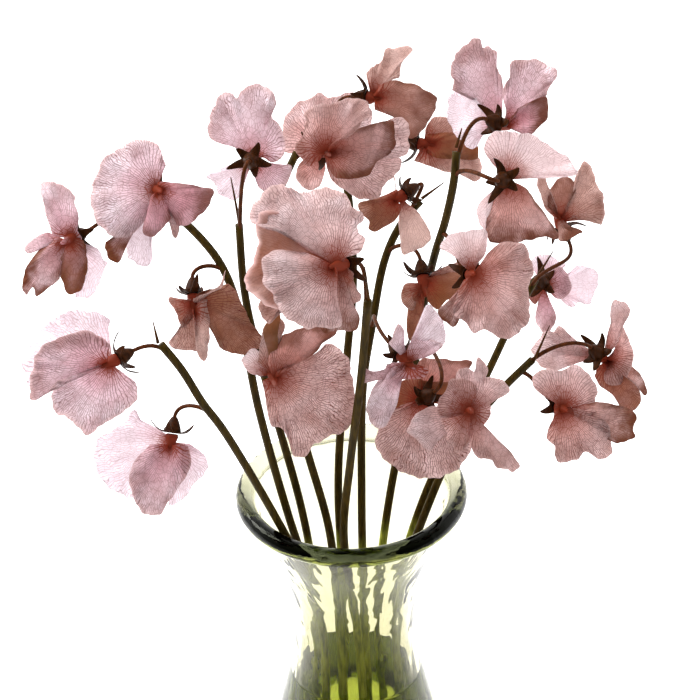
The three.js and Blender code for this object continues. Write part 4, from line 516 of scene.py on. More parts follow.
            [18.9, -19.3, 3], [20, -17, 3], [18.5, -7.3, 3], [13, -1.5, 3]]],
        ["pale", 2, 1.4, [[-2.3, 1.9, 2], [-8.5, 6.2, 3], [-10.4, 8.9, 3], [-10, 12, 3], [-5.4, 14.7, 3],
            [0.4, 13.9, 3], [7.3, 15.8, 2], [12.7, 10, 2], [15, 6.2, 2], [14, 1.5, 3]]],
        ["tipped", 1, 1.2, [[12, 1.5, 1], [20.5, 0.4, 1], [28.6, -2.7, 1], [29.3, -5.4, 1], [28.6, -9.3, 1],
            [29.3, -12.4, 1], [23.5, -14.7, 1], [17.8, -13, 1], [10, -5, 1]]],
    ],
}

BLOOMS = {
    name: {"stem": stem, "finish": finish, "at": at, "axis": axis, "petals": PETALS[name]}
    for name, (stem, finish, at, axis) in PLACES.items()
}

# How far a petal has gone over: its blush from 0, nearly white, to 1, dusky mauve, how brown its margin and
# its whole blade have become, how dark its veins are, and how pale its rim. The pale rim is a painted
# highlight, the glow of a thin margin lit from behind; in "hollow" and "dark" the brown is painted shade.
SIGNS = ["blush", "rust", "brown", "veins", "rim"]
LOOKS = {
    "white": [0, 0, 0, 0.45, 0],
    "pale": [0.3, 0.2, 0, 0.75, 0.4],
    "rosy": [0.5, 0.35, 0.05, 0.75, 0.3],
    "veined": [0.5, 0.25, 0.1, 1, 0.3],
    "dusky": [0.95, 0.7, 0.1, 0.6, 0],
    "bruised": [0.75, 0.9, 0.1, 0.7, 0],
    "tipped": [0.5, 1, 0.25, 0.8, 0],
    "scorched": [0.6, 1, 0.65, 0.8, 0],
    "tan": [0.4, 0.3, 0.4, 0.7, 0.2],
    "russet": [0.8, 0.3, 0.65, 1, 0],
    "umber": [0.8, 0.2, 0.9, 0.4, 0],
    # hollow: a shaded inner face, its brown body painted shade and its pale rim a painted highlight
    "hollow": [0.6, 0, 0.6, 0.3, 1],
    # dark: painted shade, a petal dark all over where the petals shade each other
    "dark": [1, 1, 1, 0, 0],
}


def unit(v):
    """Vectors along the last axis, made one long."""
    v = np.asarray(v, float)
    return v / np.linalg.norm(v, axis=-1, keepdims=True)


def wave(along, length, phase):
    """A sine of the place along a line, with a wave length and a phase."""
    return np.sin(2 * math.pi * along / length + phase)


def seen(v):
    """[right, rise, near] on the picture plane of someone who looks down on the front, as x, y, z."""
    right, rise, near = v
    y = rise * math.sin(EYE_TILT) - near * math.cos(EYE_TILT)
    z = rise * math.cos(EYE_TILT) + near * math.sin(EYE_TILT)
    return np.array([right, y, z], float)


def smooth_line(points, count):
    """A centripetal Catmull-Rom curve through points, as count points evenly spaced along it.

    Between two points it is a cubic whose end slopes are those of the quadratics through three neighbours,
    with knots as far apart as the square root of the points' distance.
    """
    p = np.asarray(points, float)
    p = np.vstack([2 * p[0] - p[1], p, 2 * p[-1] - p[-2]])
    knots = np.sqrt(np.linalg.norm(np.diff(p, axis=0), axis=1))[:, None]
    slope = np.diff(p, axis=0) / knots
    before, here, after = knots[:-2], knots[1:-1], knots[2:]
    start = slope[:-2] - (p[2:-1] - p[:-3]) / (before + here) + slope[1:-1]
    end = slope[1:-1] - (p[3:] - p[1:-2]) / (here + after) + slope[2:]
    t = np.linspace(0, 1, SPAN_POINTS)[None, :, None]
    a, b = p[1:-2, None], p[2:-1, None]
    m, n = (start * here)[:, None], (end * here)[:, None]
    curve = (
        (2 * t**3 - 3 * t**2 + 1) * a + (t**3 - 2 * t**2 + t) * m
        + (3 * t**2 - 2 * t**3) * b + (t**3 - t**2) * n
    ).reshape(-1, p.shape[1])
    return evenly(curve, count)


def evenly(points, count):
    """Points along a line, taken again at equal distances."""
    steps = np.linalg.norm(np.diff(points, axis=0), axis=1)
    along = np.concatenate([[0], np.cumsum(steps)])
    wanted = np.linspace(0, along[-1], count)
    return np.stack([np.interp(wanted, along, points[:, i]) for i in range(points.shape[1])], axis=1)


def grid_faces(rows, columns, closed):
    """The quads of a grid of points, row by row. closed joins its last column to its first."""
    wide = columns if closed else columns - 1
    j, i = np.meshgrid(np.arange(rows - 1), np.arange(wide), indexing="ij")
    right = (i + 1) % columns
    corners = [j * columns + i, j * columns + right, (j + 1) * columns + right, (j + 1) * columns + i]
    return np.stack(corners, axis=-1).reshape(-1, 4)


def part_of(points, faces, fan=None, **marks):
    """One surface of a piece: its points, its faces, its place in the petal's fan, and its look's marks."""
    points = points.reshape(-1, 3)
    fan = np.zeros((len(points), 2)) if fan is None else fan.reshape(-1, 2)
    full = {name: np.broadcast_to(value, (len(points),)) for name, value in marks.items()}
    return {"points": points, "faces": faces, "fan": fan, "marks": full}


def blade_part(middle, thickness, fan, **marks):
    """A closed thin shell on a grid of points: each point moved half the thickness both ways along the
    normal, which is the cross product of the grid's two directions, and the faces joined round the edge."""
    rows, columns = middle.shape[:2]
    normal = unit(np.cross(np.gradient(middle, axis=1), np.gradient(middle, axis=0)))
    offset = normal * thickness[..., None] / 2
    front = grid_faces(rows, columns, False)
    count = rows * columns
    rim = np.concatenate([
        np.arange(columns),
        np.arange(2, rows + 1) * columns - 1,
        (rows - 1) * columns + np.arange(columns - 2, -1, -1),
        np.arange(rows - 2, 0, -1) * columns,
    ])
    ahead = np.roll(rim, -1)
    edge = np.stack([ahead, rim, rim + count, ahead + count], axis=1)
    faces = np.vstack([front, front[:, ::-1] + count, edge])
    both = {name: np.tile(np.broadcast_to(v, (rows, columns)).ravel(), 2) for name, v in marks.items()}
    points = np.concatenate([(middle + offset).reshape(-1, 3), (middle - offset).reshape(-1, 3)])
    return part_of(points, faces, np.tile(fan.reshape(-1, 2), (2, 1)), **both)


def tube_part(path, radius, sides, **marks):
    """A closed round tube: at each point of the path a circle in the plane across it, drawn in to the path
    at both ends. The circle is measured from the normal of the path's own plane, because no path runs along
    that."""
    path = np.asarray(path, float)
    count = len(path)
    radius = np.broadcast_to(radius, (count,)).astype(float)
    ahead = unit(np.gradient(path, axis=0))
    plane = np.linalg.svd(path - path.mean(axis=0))[2][2]
    across = unit(np.cross(ahead, plane))
    other = np.cross(across, ahead)
    path, across, other = (np.vstack([v[:1], v, v[-1:]]) for v in (path, across, other))
    radius = np.concatenate([[0], radius, [0]])[:, None, None]
    turn = np.linspace(0, 2 * math.pi, sides, endpoint=False)[None, :, None]
    points = path[:, None] + radius * (np.cos(turn) * across[:, None] + np.sin(turn) * other[:, None])
    full = {}
    for name, value in marks.items():
        value = np.broadcast_to(value, (count,))
        full[name] = np.repeat(np.concatenate([value[:1], value, value[-1:]]), sides)
    return part_of(points, grid_faces(len(path), sides, True), **full)


def lathe_part(profile, sides, **marks):
    """A profile of [radius, height] turned round the Z axis. It starts and ends on the axis."""
    radius, height = np.asarray(profile, float).T
    turn = np.linspace(0, 2 * math.pi, sides, endpoint=False)
    x, y = np.outer(radius, np.cos(turn)), np.outer(radius, np.sin(turn))
    z = np.outer(height, np.ones(sides))
    return part_of(np.stack([x, y, z], axis=-1), grid_faces(len(profile), sides, True), **marks)


def turned(part, at, axis):
    """A part made about +Z, with its +Z turned to an axis, moved to a place."""
    turn = np.array(Vector((0, 0, 1)).rotation_difference(Vector(axis)).to_matrix())
    return {**part, "points": part["points"] @ turn.T + np.asarray(at, float)}


def placed(name, data):
    """Adds an object to the scene."""
    made = bpy.data.objects.new(name, data)
    bpy.context.scene.collection.objects.link(made)
    return made


def make_piece(name, parts, material, slot, *nodes):
    """Joins parts into one smooth object in metres, with its doubles welded and its normals pointing out."""
    starts = np.cumsum([0] + [len(p["points"]) for p in parts])
    faces = np.vstack([p["faces"] + start for p, start in zip(parts, starts)])
    mesh = bpy.data.meshes.new(name)
    mesh.from_pydata(np.vstack([p["points"] for p in parts]) * MM, [], faces.tolist())
    corner = np.zeros(len(mesh.loops), int)
    mesh.loops.foreach_get("vertex_index", corner)
    fan = np.vstack([p["fan"] for p in parts])[corner]
    mesh.uv_layers.new(name="fan").data.foreach_set("uv", fan.ravel())
    for mark in parts[0]["marks"]:
        values = np.concatenate([p["marks"][mark] for p in parts]).astype(np.float32)
        mesh.attributes.new(mark, "FLOAT", "POINT").data.foreach_set("value", values)
    weld(mesh)
    mesh.polygons.foreach_set("use_smooth", np.ones(len(mesh.polygons), bool))
    mesh.materials.append(material)
    piece = placed(name, mesh)
    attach(piece, "root")
    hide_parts(*nodes)


def weld(mesh):
    """Merges the points that lie on each other, which closes poles and tube ends."""
    bm = bmesh.new()
    bm.from_mesh(mesh)
    bmesh.ops.remove_doubles(bm, verts=bm.verts, dist=SAME_PLACE)
    bmesh.ops.recalc_face_normals(bm, faces=bm.faces)
    bm.to_mesh(mesh)
    bm.free()


# Petals

def signs_of(look):
    """A look's line of LOOKS, with each value's name."""
    return dict(zip(SIGNS, LOOKS[look]))


def softened(line, share):
    """A line smoothed by the mean over a share of its length. Past each end it goes on as its own half turn,
    so that both ends stay where they are."""
    reach = int(len(line) * share) // 2
    longer = np.pad(line, ((reach, reach), (0, 0)), "reflect", reflect_type="odd")
    sums = np.cumsum(np.vstack([np.zeros((1, 3)), longer]), axis=0)
    window = 2 * reach + 1
    return (sums[window:] - sums[:-window]) / window


def rested(points, place, axis):
    """Points moved along the calyx's axis until they lie above its sepals and the petals joined below.

    The least height falls in a straight line from the calyx's mouth outwards, and more steeply past
    REST_END. The lift is the smooth positive part (x + sqrt(x^2 + 1)) / 2 of what is missing.
    """
    height = points @ axis
    aside = np.linalg.norm(points - height[..., None] * axis, axis=-1)
    fall = REST_FALL * np.maximum(0, aside - CALYX_RADIUS) + REST_CLIFF * np.maximum(0, aside - REST_END)
    missing = REST + REST_STEP * place - fall - height
    return points + ((missing + np.sqrt(missing**2 + 1)) / 2)[..., None] * axis


def petal_part(bloom, order, place):
    """A petal stretched from its claw to its margin. s is the length along the margin, and out runs from
    nearly 0 at the claw to 1 at the margin.

    A point is claw + (soft(s) + (margin(s) - soft(s)) out^3) (out + scallops(s) out^5), where soft is the
    smoothed margin, so only the outer blade follows the margin's lobes and is scalloped. Along the petal's
    face it is raised by its camber and lowered by a crease down its middle, a bell curve across it, both
    times the parabola 4 out (1 - out). It is also waved by two folds that sway across it, which grow with
    out^1.5, by ruffles that grow with out^3 and by a frill that grows with out^6. These and the scallops are
    sines, and for each a smaller second one keeps it from being regular. The blade thins evenly to half its
    thickness at the margin.
    """
    look, camber, ruffle, margin = bloom["petals"][place]
    phase = order * PHASE_STEPS[0] + place * PHASE_STEPS[1]
    axis = unit(seen(bloom["axis"]))
    claw = axis * (CLAW_HEIGHT + CLAW_STEP * place)
    outline = smooth_line([seen(point) for point in margin], LINE_POINTS)
    length = np.linalg.norm(np.diff(outline, axis=0), axis=1).sum()
    columns = max(LEAST_COLUMNS, int(length / CELL))
    spokes = evenly(outline, columns) - claw
    soft = softened(softened(spokes, SOFT_SHARES[0]), SOFT_SHARES[1])
    reach = np.linalg.norm(soft, axis=1)
    rows = max(LEAST_ROWS, int(reach.max() / CELL))
    s, out = np.meshgrid(np.linspace(0, length, columns), np.linspace(CLAW, 1, rows))

    scallops = wave(s, SCALLOP_LENGTH, phase) + SCALLOP_SECOND * wave(s, FRILL_LENGTH, -phase)
    stretch = out + SCALLOP_SHARE * out**5 * scallops
    flat = (soft + (spokes - soft) * out[..., None] ** 3) * stretch[..., None]
    face = unit(np.cross(spokes[:-1], spokes[1:]).sum(axis=0))
    face = face * math.copysign(1, face @ seen([0, 0, 1]))
    middle_line = unit(soft[columns // 2] - face * (soft[columns // 2] @ face))
    x, y = flat @ np.cross(face, middle_line), flat @ middle_line

    folds = wave(x + FOLD_SWAYS[0] * np.sin(y / 5 + phase), FOLD_LENGTHS[0], phase)
    across = wave(y + FOLD_SWAYS[1] * np.sin(x / 4 - phase), FOLD_LENGTHS[1], 2.3 * phase)
    folds = folds + FOLD_SECOND * across
    crease = -CREASE_SHARE * reach.mean() * np.exp(-((x / CREASE_WIDTH) ** 2))
    uneven = s + 3 * wave(s, UNEVEN_LENGTHS[0], phase)
    ruffles = wave(uneven, RUFFLE_LENGTH, phase) + RUFFLE_SECOND * wave(s, LONG_RUFFLE, -phase)
    frill = wave(uneven, FRILL_LENGTH, 2 * phase) * (0.6 + 0.4 * wave(s, UNEVEN_LENGTHS[1], -phase))
    rise = (camber + crease) * 4 * out * (1 - out) + FOLD_HEIGHT * folds * out**1.5
    rise = rise + ruffle * (out**3 * ruffles + FRILL_SHARE * out**6 * frill)
    middle = rested(claw + flat + rise[..., None] * face, place, axis)
    fan = np.stack([s / reach.mean() + 4 * phase, reach * out], axis=-1)
    thickness = PETAL_THICKNESS * (1 - 0.5 * out)
    return blade_part(np.array(bloom["at"]) + middle, thickness, fan, margin=out, **signs_of(look))


def tube_and_keel(bloom):
    """The cone of the petals' claws, and the keel between the wings: a lathe that narrows to a blunt tip.
    Its fan runs up its height, so that its foot has the throat's red and its tip less of it."""
    top = CLAW_HEIGHT + CLAW_STEP * len(bloom["petals"])
    profile = [
        [0, 0.3], [TUBE_RADIUS * 0.9, 0.4], [TUBE_RADIUS, 1.5], [TUBE_RADIUS * 0.45, top],
        [TUBE_RADIUS * 0.25, top + KEEL_LENGTH * 0.6], [0, top + KEEL_LENGTH],
    ]
    part = lathe_part(smooth_line(profile, KEEL_POINTS), KEEL_SIDES, margin=0.3, **signs_of("dusky"))
    part["fan"][:, 1] = 0.5 * part["points"][:, 2]
    return turned(part, bloom["at"], unit(seen(bloom["axis"])))


# Stems

def stem_line(inside, above):
    """The stem's middle line from the vase's floor to where its thin tip begins, evenly spaced."""
    heights = [FLOOR + STEM_FOOT, NECK_HEIGHT, THROAT_HEIGHT, RIM_HEIGHT]
    return smooth_line([[*at, height] for at, height in zip(inside, heights)] + above[:-1], LINE_POINTS)


def stalk_line(bloom, line):
    """A cubic Bezier curve from the stem, along it, outwards and up, arching over into the calyx's base."""
    axis = unit(seen(bloom["axis"]))
    end = np.array(bloom["at"]) + axis * (CALYX_BASE / 3 - CALYX_LENGTH)
    share = np.linspace(0, 1, len(line))
    away = np.linalg.norm(line - end, axis=1)
    away[(share < STALK_FROM[0]) | (share > STALK_FROM[1])] = np.inf
    nearest = int(np.argmin(away) - STALK_DROP * len(line))
    start, along = line[nearest], unit(line[nearest + 1] - line[nearest])
    handle = np.linalg.norm(end - start) * STALK_HANDLE
    onwards, outwards, up = STALK_RISE
    leave = start + handle * (onwards * along + outwards * unit(end - start) + up * np.array([0, 0, 1]))
    arrive = end - handle * axis
    t = np.linspace(0, 1, STALK_POINTS)[:, None]
    return (1 - t) ** 3 * start + 3 * (1 - t) ** 2 * t * leave + 3 * (1 - t) * t**2 * arrive + t**3 * end


def sepal_part(turn, reach, drop):
    """A pointed sepal that spreads from the calyx's mouth by its reach and falls back by a drop at its tip.
    Its height is a parabola, its width falls with the square root of the distance left to its tip, its sides
    are cupped and its tip turns aside by a sine."""
    side, along = np.meshgrid(np.linspace(-1, 1, SEPAL_GRID[0]), np.linspace(0, 1, SEPAL_GRID[1]))
    width = SEPAL_WIDTH * np.sqrt(1.005 - along)
    outwards = CALYX_RADIUS * 0.8 + reach * along
    height = CALYX_LENGTH - SEPAL_ROOT + SEPAL_ARCH * along * (1 - along) - drop * along**2
    height = height + SEPAL_CUP * side**2 * (1 - along)
    sideways = side * width / 2 + SEPAL_BEND * np.sin(3 * along + 5 * turn) * along
    c, s = math.cos(turn), math.sin(turn)
    points = np.stack([outwards * c - sideways * s, outwards * s + sideways * c, height], axis=-1)
    thickness = np.full(side.shape, SEPAL_THICKNESS)
    return blade_part(points, thickness, np.stack([side, along], axis=-1), ripe=1.0)


def calyx_parts(bloom):
    """The bell of the calyx, a lathe, and its sepals. The sine of a sepal's number and the bloom's place
    makes each one longer or shorter, and bends it more or less."""
    profile = [
        [0, 0], [CALYX_BASE * 0.5, 0.15], [CALYX_BASE * 0.8, 0.9], [CALYX_RADIUS * 0.72, 2.8],
        [CALYX_RADIUS * 0.9, 4.6], [CALYX_RADIUS, CALYX_LENGTH], [CALYX_RADIUS * 0.88, CALYX_LENGTH],
        [CALYX_RADIUS * 0.8, 4.8], [0, 4.6],
    ]
    parts = [lathe_part(profile, CALYX_SIDES, ripe=1.0)]
    for k in range(SEPALS):
        uneven = math.sin(2.4 * k + sum(bloom["at"]))
        reach = SEPAL_REACH * (1 + 0.3 * uneven)
        drop = SEPAL_DROPS[k % 2] * (1 + 0.6 * uneven)
        parts.append(sepal_part(2 * math.pi * k / SEPALS + 0.2 * uneven, reach, drop))
    axis = unit(seen(bloom["axis"]))
    return [turned(part, np.array(bloom["at"]) - axis * CALYX_LENGTH, axis) for part in parts]


def stem_parts(name):
    """One stem, thicker towards its foot, with its thin tip, and the stalk and calyx of each bloom on it.
    ripe is 0 on the stem, 0.3 on its tip, 0.5 on the reddish stalks and 1 on the brown calyxes."""
    inside, above = STEMS[name]
    line = stem_line(inside, above)
    tip = np.array(above[-1], float)
    path = line[::RING_STEP]
    swell = STEM_SWELL[0] - STEM_SWELL[1] * np.linspace(0, 1, len(path))
    needle = np.linspace(line[-1] + TIP_OVERLAP * (line[-1] - tip), tip, TIP_POINTS)
    parts = [
        tube_part(path, STEM_RADIUS * swell, STEM_SIDES, ripe=0.0),
        tube_part(needle, np.linspace(*TIP_RADII, TIP_POINTS), TIP_SIDES, ripe=0.3),
    ]
    for bloom in BLOOMS.values():
        if bloom["stem"] == name:
            radius = STALK_RADIUS * np.linspace(*STALK_SWELL, STALK_POINTS)
            parts.append(tube_part(stalk_line(bloom, line), radius, STALK_SIDES, ripe=0.5))
            parts += calyx_parts(bloom)
    return parts


# The vase and its water

def inner_profile(low, high, inset):
    """The inner wall between two heights, one glass thickness inside the outer one and less an inset."""
    wall = wall_profile(LINE_POINTS)
    heights = np.linspace(low, high, INNER_POINTS)
    radius = np.interp(heights, wall[:, 1], wall[:, 0]) - GLASS - inset
    return np.stack([radius, heights], axis=1)


def wall_profile(count):
    """The vase's outer wall as [radius, height], a smooth curve through WALL."""
    return smooth_line([[r, z] for z, r in WALL], count)


def vase_parts():
    """The whole wall as one lathe: from the foot, which is hollow by 0.6 mm, up outside, over the rolled rim
    and down inside to the floor."""
    turn = np.radians(np.linspace(*BEAD_ARC, BEAD_POINTS))
    bead = np.stack([RIM_RADIUS + RIM_BEAD * np.cos(turn), RIM_HEIGHT + RIM_BEAD * np.sin(turn)], axis=1)
    inner = inner_profile(FLOOR + FLOOR_CORNER, RIM_HEIGHT - INNER_DROP, 0)[::-1]
    floor = [[inner[-1][0] - FLOOR_CORNER, FLOOR], [inner[-1][0] * 0.5, FLOOR], [0, FLOOR]]
    foot = [[0, 0.6], [FOOT_RADIUS * 0.8, 0.4], [FOOT_RADIUS - 2, 0], [FOOT_RADIUS, 0]]
    return [lathe_part(np.vstack([foot, wall_profile(WALL_POINTS), bead, inner, floor]), VASE_SIDES)]


def water_parts():
    """The water: a lathe that follows the inner wall, with its surface drawn up a little at the glass."""
    middle, wall = WATER_FOOT
    side = inner_profile(FLOOR + wall, WATER_LEVEL + WATER_EDGE[0][1], -WATER_OVERLAP)
    surface = [[side[-1][0] - inwards, WATER_LEVEL + up] for inwards, up in WATER_EDGE[1:]]
    profile = np.vstack([[[0, FLOOR + middle]], side, surface, [[0, WATER_LEVEL]]])
    return [lathe_part(profile, VASE_SIDES)]


# Materials

MIX = {"data_type": "RGBA"}
BLEND = {"data_type": "RGBA", "blend_type": "MULTIPLY"}
SMOOTH = {"interpolation_type": "SMOOTHSTEP"}
ADD = {"operation": "ADD"}
TIMES = {"operation": "MULTIPLY"}
# the first value times the second, plus the third
TIMES_PLUS = {"operation": "MULTIPLY_ADD"}
WHITE = (1.0, 1.0, 1.0, 1.0)


def linear(code):
    """An sRGB hex colour as linear red, green, blue and an alpha of one."""
    srgb = [int(code[i:i + 2], 16) / 255 for i in (1, 3, 5)]
    return [c / 12.92 if c <= 0.04045 else ((c + 0.055) / 1.055) ** 2.4 for c in srgb] + [1.0]


def node(tree, kind, inputs={}, settings={}, output=0):
    """Adds a shader node and gives back one of its outputs, by its name or its place. inputs are told by
    name or in order: an output is joined to its input, and any other value is written into it. settings are
    the node's own properties."""
    made = tree.nodes.new("ShaderNode" + kind)
    for name, value in settings.items():
        setattr(made, name, value)
    sockets = [socket for socket in made.inputs if socket.enabled]
    for key, value in inputs.items() if isinstance(inputs, dict) else enumerate(inputs):
        socket = sockets[key] if isinstance(key, int) else next(s for s in sockets if s.name == key)
        if isinstance(value, bpy.types.NodeSocket):
            tree.links.new(value, socket)
        else:
            socket.default_value = value
    outputs = [socket for socket in made.outputs if socket.enabled]
    return made.outputs[output] if isinstance(output, str) else (outputs or [None])[output]


def new_material(name):
    """An empty node material, its tree, and the place in metres that its patterns are measured by."""
    material = bpy.data.materials.new(name)
    material.use_nodes = True
    tree = material.node_tree
    tree.nodes.clear()
    return material, tree, node(tree, "TexCoord", output="Object")


def petal_material(name, pale, deep, throat):
    """A faded sweet pea petal: thin, matt tissue that lets light through, with fine veins that fork from the
    claw out, a red-brown throat some mm long, and a margin that has begun to dry and turn brown."""
    material, tree, position = new_material(name)
    angle = node(tree, "SeparateXYZ", [node(tree, "UVMap", settings={"uv_map": "fan"})])
    r = angle.node.outputs["Y"]
    margin, blush, rust, brown, veins, rim = (
        node(tree, "Attribute", settings={"attribute_name": mark}, output="Fac")
        for mark in ["margin", *SIGNS]
    )
    # a fine pattern about 4 mm across, and clouds about 9 mm across
    wander = node(tree, "TexNoise", {"Vector": position, "Scale": 260.0, "Detail": 2.0})
    cloud = node(tree, "TexNoise", {"Vector": position, "Scale": 110.0, "Detail": 4.0})

    # veins that fan out from the claw, with others between them further out, about 1 mm apart, and between
    # them a net of 2 mm cells. nearest is how far the fan's wandering angle is from the next vein.
    bent = node(tree, "Math", [cloud, 0.3, angle], TIMES_PLUS)
    wavy = node(tree, "Math", [wander, 0.12, bent], TIMES_PLUS)
    cells = {"Vector": position, "Scale": 480.0}
    net_cells = node(tree, "TexVoronoi", cells, {"feature": "DISTANCE_TO_EDGE"})
    vein = node(tree, "MapRange", [net_cells, 0.08, 0.0, 0.0, 0.6], SMOOTH)
    for number, start in ((5.0, 0.0), (10.0, 5.0), (20.0, 13.0)):
        turns = node(tree, "Math", [wavy, number], TIMES)
        nearest = node(tree, "Math", [turns, 0.5], {"operation": "PINGPONG"})
        aside = node(tree, "Math", [nearest, r], TIMES)
        line = node(tree, "MapRange", [aside, 0.2 * number, 0.04 * number], SMOOTH)
        begun = node(tree, "MapRange", [r, start, start + 4.0], SMOOTH)
        drawn = node(tree, "Math", [line, begun], TIMES)
        vein = node(tree, "Math", [vein, drawn], {"operation": "MAXIMUM"})

    # the blade blushes in clouds, and more towards its claw
    patches = node(tree, "Math", [cloud, 0.9, -0.45], TIMES_PLUS)
    inner = node(tree, "MapRange", [r, 4.0, 20.0, 0.3, -0.15], SMOOTH)
    blotched = node(tree, "Math", [patches, inner], ADD)
    blushing = node(tree, "Math", [blush, blotched], ADD)
    ground = node(tree, "Mix", [blushing, linear(pale), linear(deep)], MIX)

    # the margin dries first, in patches some 9 mm across, and then the whole blade. The looks "hollow" and
    # "dark" use this browning, and "dark" its full blush and rust too, as painted shade.
    edge = node(tree, "Math", [cloud, 1.3, margin], TIMES_PLUS)
    dry = node(tree, "MapRange", [edge, 1.25, 1.75], SMOOTH)
    rusting = node(tree, "Math", [dry, rust], TIMES)
    rusty = node(tree, "Mix", [rusting, ground, linear("#7a3d12")], MIX)
    uneven = node(tree, "Math", [cloud, 1.4, 0.25], TIMES_PLUS)
    browning = node(tree, "Math", [uneven, brown], {**TIMES, "use_clamp": True})
    browned = node(tree, "Mix", [browning, rusty, linear("#a26a42")], MIX)

    # the veins, the pale rim, which is a painted highlight where the thin margin glows with light from
    # behind, and the red throat, which the veins carry outwards
    inked = node(tree, "Math", [vein, veins], TIMES)
    share = node(tree, "Math", [inked, 0.95], TIMES)
    veined = node(tree, "Mix", [share, browned, linear("#762c1c")], MIX)
    lip = node(tree, "MapRange", [margin, 0.93, 1.0], SMOOTH)
    rim_highlight = node(tree, "Math", [lip, rim], TIMES)
    rimmed = node(tree, "Mix", [rim_highlight, veined, linear("#f2d9d6")], MIX)
    reach = node(tree, "Math", [vein, -4.0, r], TIMES_PLUS)
    deep_down = node(tree, "MapRange", [reach, throat, 0.5], SMOOTH)
    colour = node(tree, "Mix", [deep_down, rimmed, linear("#9a3a18")], MIX)

    height = node(tree, "Math", [1.0, vein], {"operation": "SUBTRACT"})
    normal = node(tree, "Bump", {"Strength": 0.4, "Distance": 0.0003, "Height": height})
    tissue = node(tree, "BsdfPrincipled",
                  {"Base Color": colour, "Roughness": 0.6, "IOR": 1.4, "Normal": normal})
    light = node(tree, "Mix", [0.12, colour, linear("#fff1ea")], MIX)
    through = node(tree, "BsdfTranslucent", [light, normal])
    surface = node(tree, "MixShader", [0.6, tissue, through])
    node(tree, "OutputMaterial", {"Surface": surface})
    return material


def stem_material():
    """A cut sweet pea stem: smooth, fresh green inside the vase and olive brown above it, darker in streaks
    along its length, reddish on the short stalks and dark brown on the drying calyxes."""
    material, tree, position = new_material("stem_skin")
    drawn_out = node(tree, "Mapping", {"Vector": position, "Scale": (1.0, 1.0, 0.12)})
    # streaks about 1 mm wide and eight times as long
    streaks = node(tree, "TexNoise", {"Vector": drawn_out, "Scale": 900.0, "Detail": 3.0})
    ripe = node(tree, "Attribute", settings={"attribute_name": "ripe"}, output="Fac")
    ageing = node(tree, "MapRange", [ripe, 0.0, 0.5])
    # inside the vase, from 16 to 35 mm below its rim, a stem is more and more fresh and green
    height = node(tree, "SeparateXYZ", [position], output="Z")
    fresh = node(tree, "MapRange", [height, (RIM_HEIGHT - 16) * MM, (RIM_HEIGHT - 35) * MM], SMOOTH)
    cut_skin = node(tree, "Mix", [fresh, linear("#403006"), linear("#b4ba4c")], MIX)
    young = node(tree, "Mix", [ageing, cut_skin, linear("#54290c")], MIX)
    drying = node(tree, "MapRange", [ripe, 0.5, 1.0])
    skin_colour = node(tree, "Mix", [drying, young, linear("#3c1c04")], MIX)
    shade = node(tree, "MapRange", [streaks, 0.35, 0.65, 0.35, 1.15])
    colour = node(tree, "Mix", [0.8, skin_colour, shade], BLEND)
    normal = node(tree, "Bump", {"Strength": 0.3, "Distance": 0.0003, "Height": streaks})
    skin = node(tree, "BsdfPrincipled",
                {"Base Color": colour, "Roughness": 0.5, "Specular IOR Level": 0.08, "Normal": normal})
    node(tree, "OutputMaterial", {"Surface": skin})
    return material


def glass_material():
    """Hand-blown recycled glass: clear with a yellow-green body colour that deepens where it is thick, and a
    surface that is gently wavy from blowing. The top of its rim carries a painted dark reflection."""
    material, tree, position = new_material("recycled_glass")
    drawn_out = node(tree, "Mapping", {"Vector": position, "Scale": (1.0, 1.0, 0.45)})
    # waves about 12 mm across
    waves = node(tree, "TexNoise", {"Vector": drawn_out, "Scale": 80.0, "Detail": 1.0, "Distortion": 1.2})
    normal = node(tree, "Bump", {"Strength": 0.35, "Distance": 0.0012, "Height": waves})
    # the rolled rim, 8 mm high, has taken up the most colour, in streaks; its top is painted near black, a
    # painted dark reflection of the room, and both are painted strongest at the front, on the side that
    # faces the camera
    height = node(tree, "SeparateXYZ", [position], output="Z")
    streaked = node(tree, "Math", [waves, 0.003, height], TIMES_PLUS)
    rim = node(tree, "MapRange", [streaked, (RIM_HEIGHT - 3.5) * MM, (RIM_HEIGHT - 0.5) * MM], SMOOTH)
    # top: the top of the bead, painted near black as a dark reflection
    top = node(tree, "MapRange", [streaked, (RIM_HEIGHT + 0.5) * MM, (RIM_HEIGHT + 2.5) * MM], SMOOTH)
    depth = node(tree, "SeparateXYZ", [position], output="Y")
    # front: the rim's colour and painted reflection are painted strongest on the side facing the camera
    front = node(tree, "MapRange", [depth, 0.03, -0.02, 0.1, 1.0], SMOOTH)
    green = node(tree, "Mix", [top, linear("#7d8a28"), linear("#12160a")], MIX)
    share = node(tree, "Math", [rim, front], TIMES)
    colour = node(tree, "Mix", [share, linear("#dedcc6"), green], MIX)
    glass = node(tree, "BsdfPrincipled",
                 {"Base Color": colour, "Roughness": 0.0, "IOR": 1.5, "Transmission Weight": 1.0,
                  "Specular Tint": linear("#40452c"), "Normal": normal})
    body = node(tree, "VolumeAbsorption", [linear("#c2be9e"), 60.0])
    node(tree, "OutputMaterial", {"Surface": glass, "Volume": body})
    return material


def water_material():
    """Still vase water, green from the stems that stand in it."""
    material, tree, position = new_material("vase_water")
    # ripples about 20 mm across
    ripples = node(tree, "TexNoise", {"Vector": position, "Scale": 50.0, "Detail": 1.0})
    normal = node(tree, "Bump", {"Strength": 0.1, "Distance": 0.0005, "Height": ripples})
    water = node(tree, "BsdfPrincipled",
                 {"Base Color": linear("#ccd86c"), "Roughness": 0.0, "IOR": 1.33, "Transmission Weight": 1.0,
                  "Normal": normal})
    body = node(tree, "VolumeAbsorption", [linear("#d8e45c"), 5.0])
    node(tree, "OutputMaterial", {"Surface": water, "Volume": body})
    return material


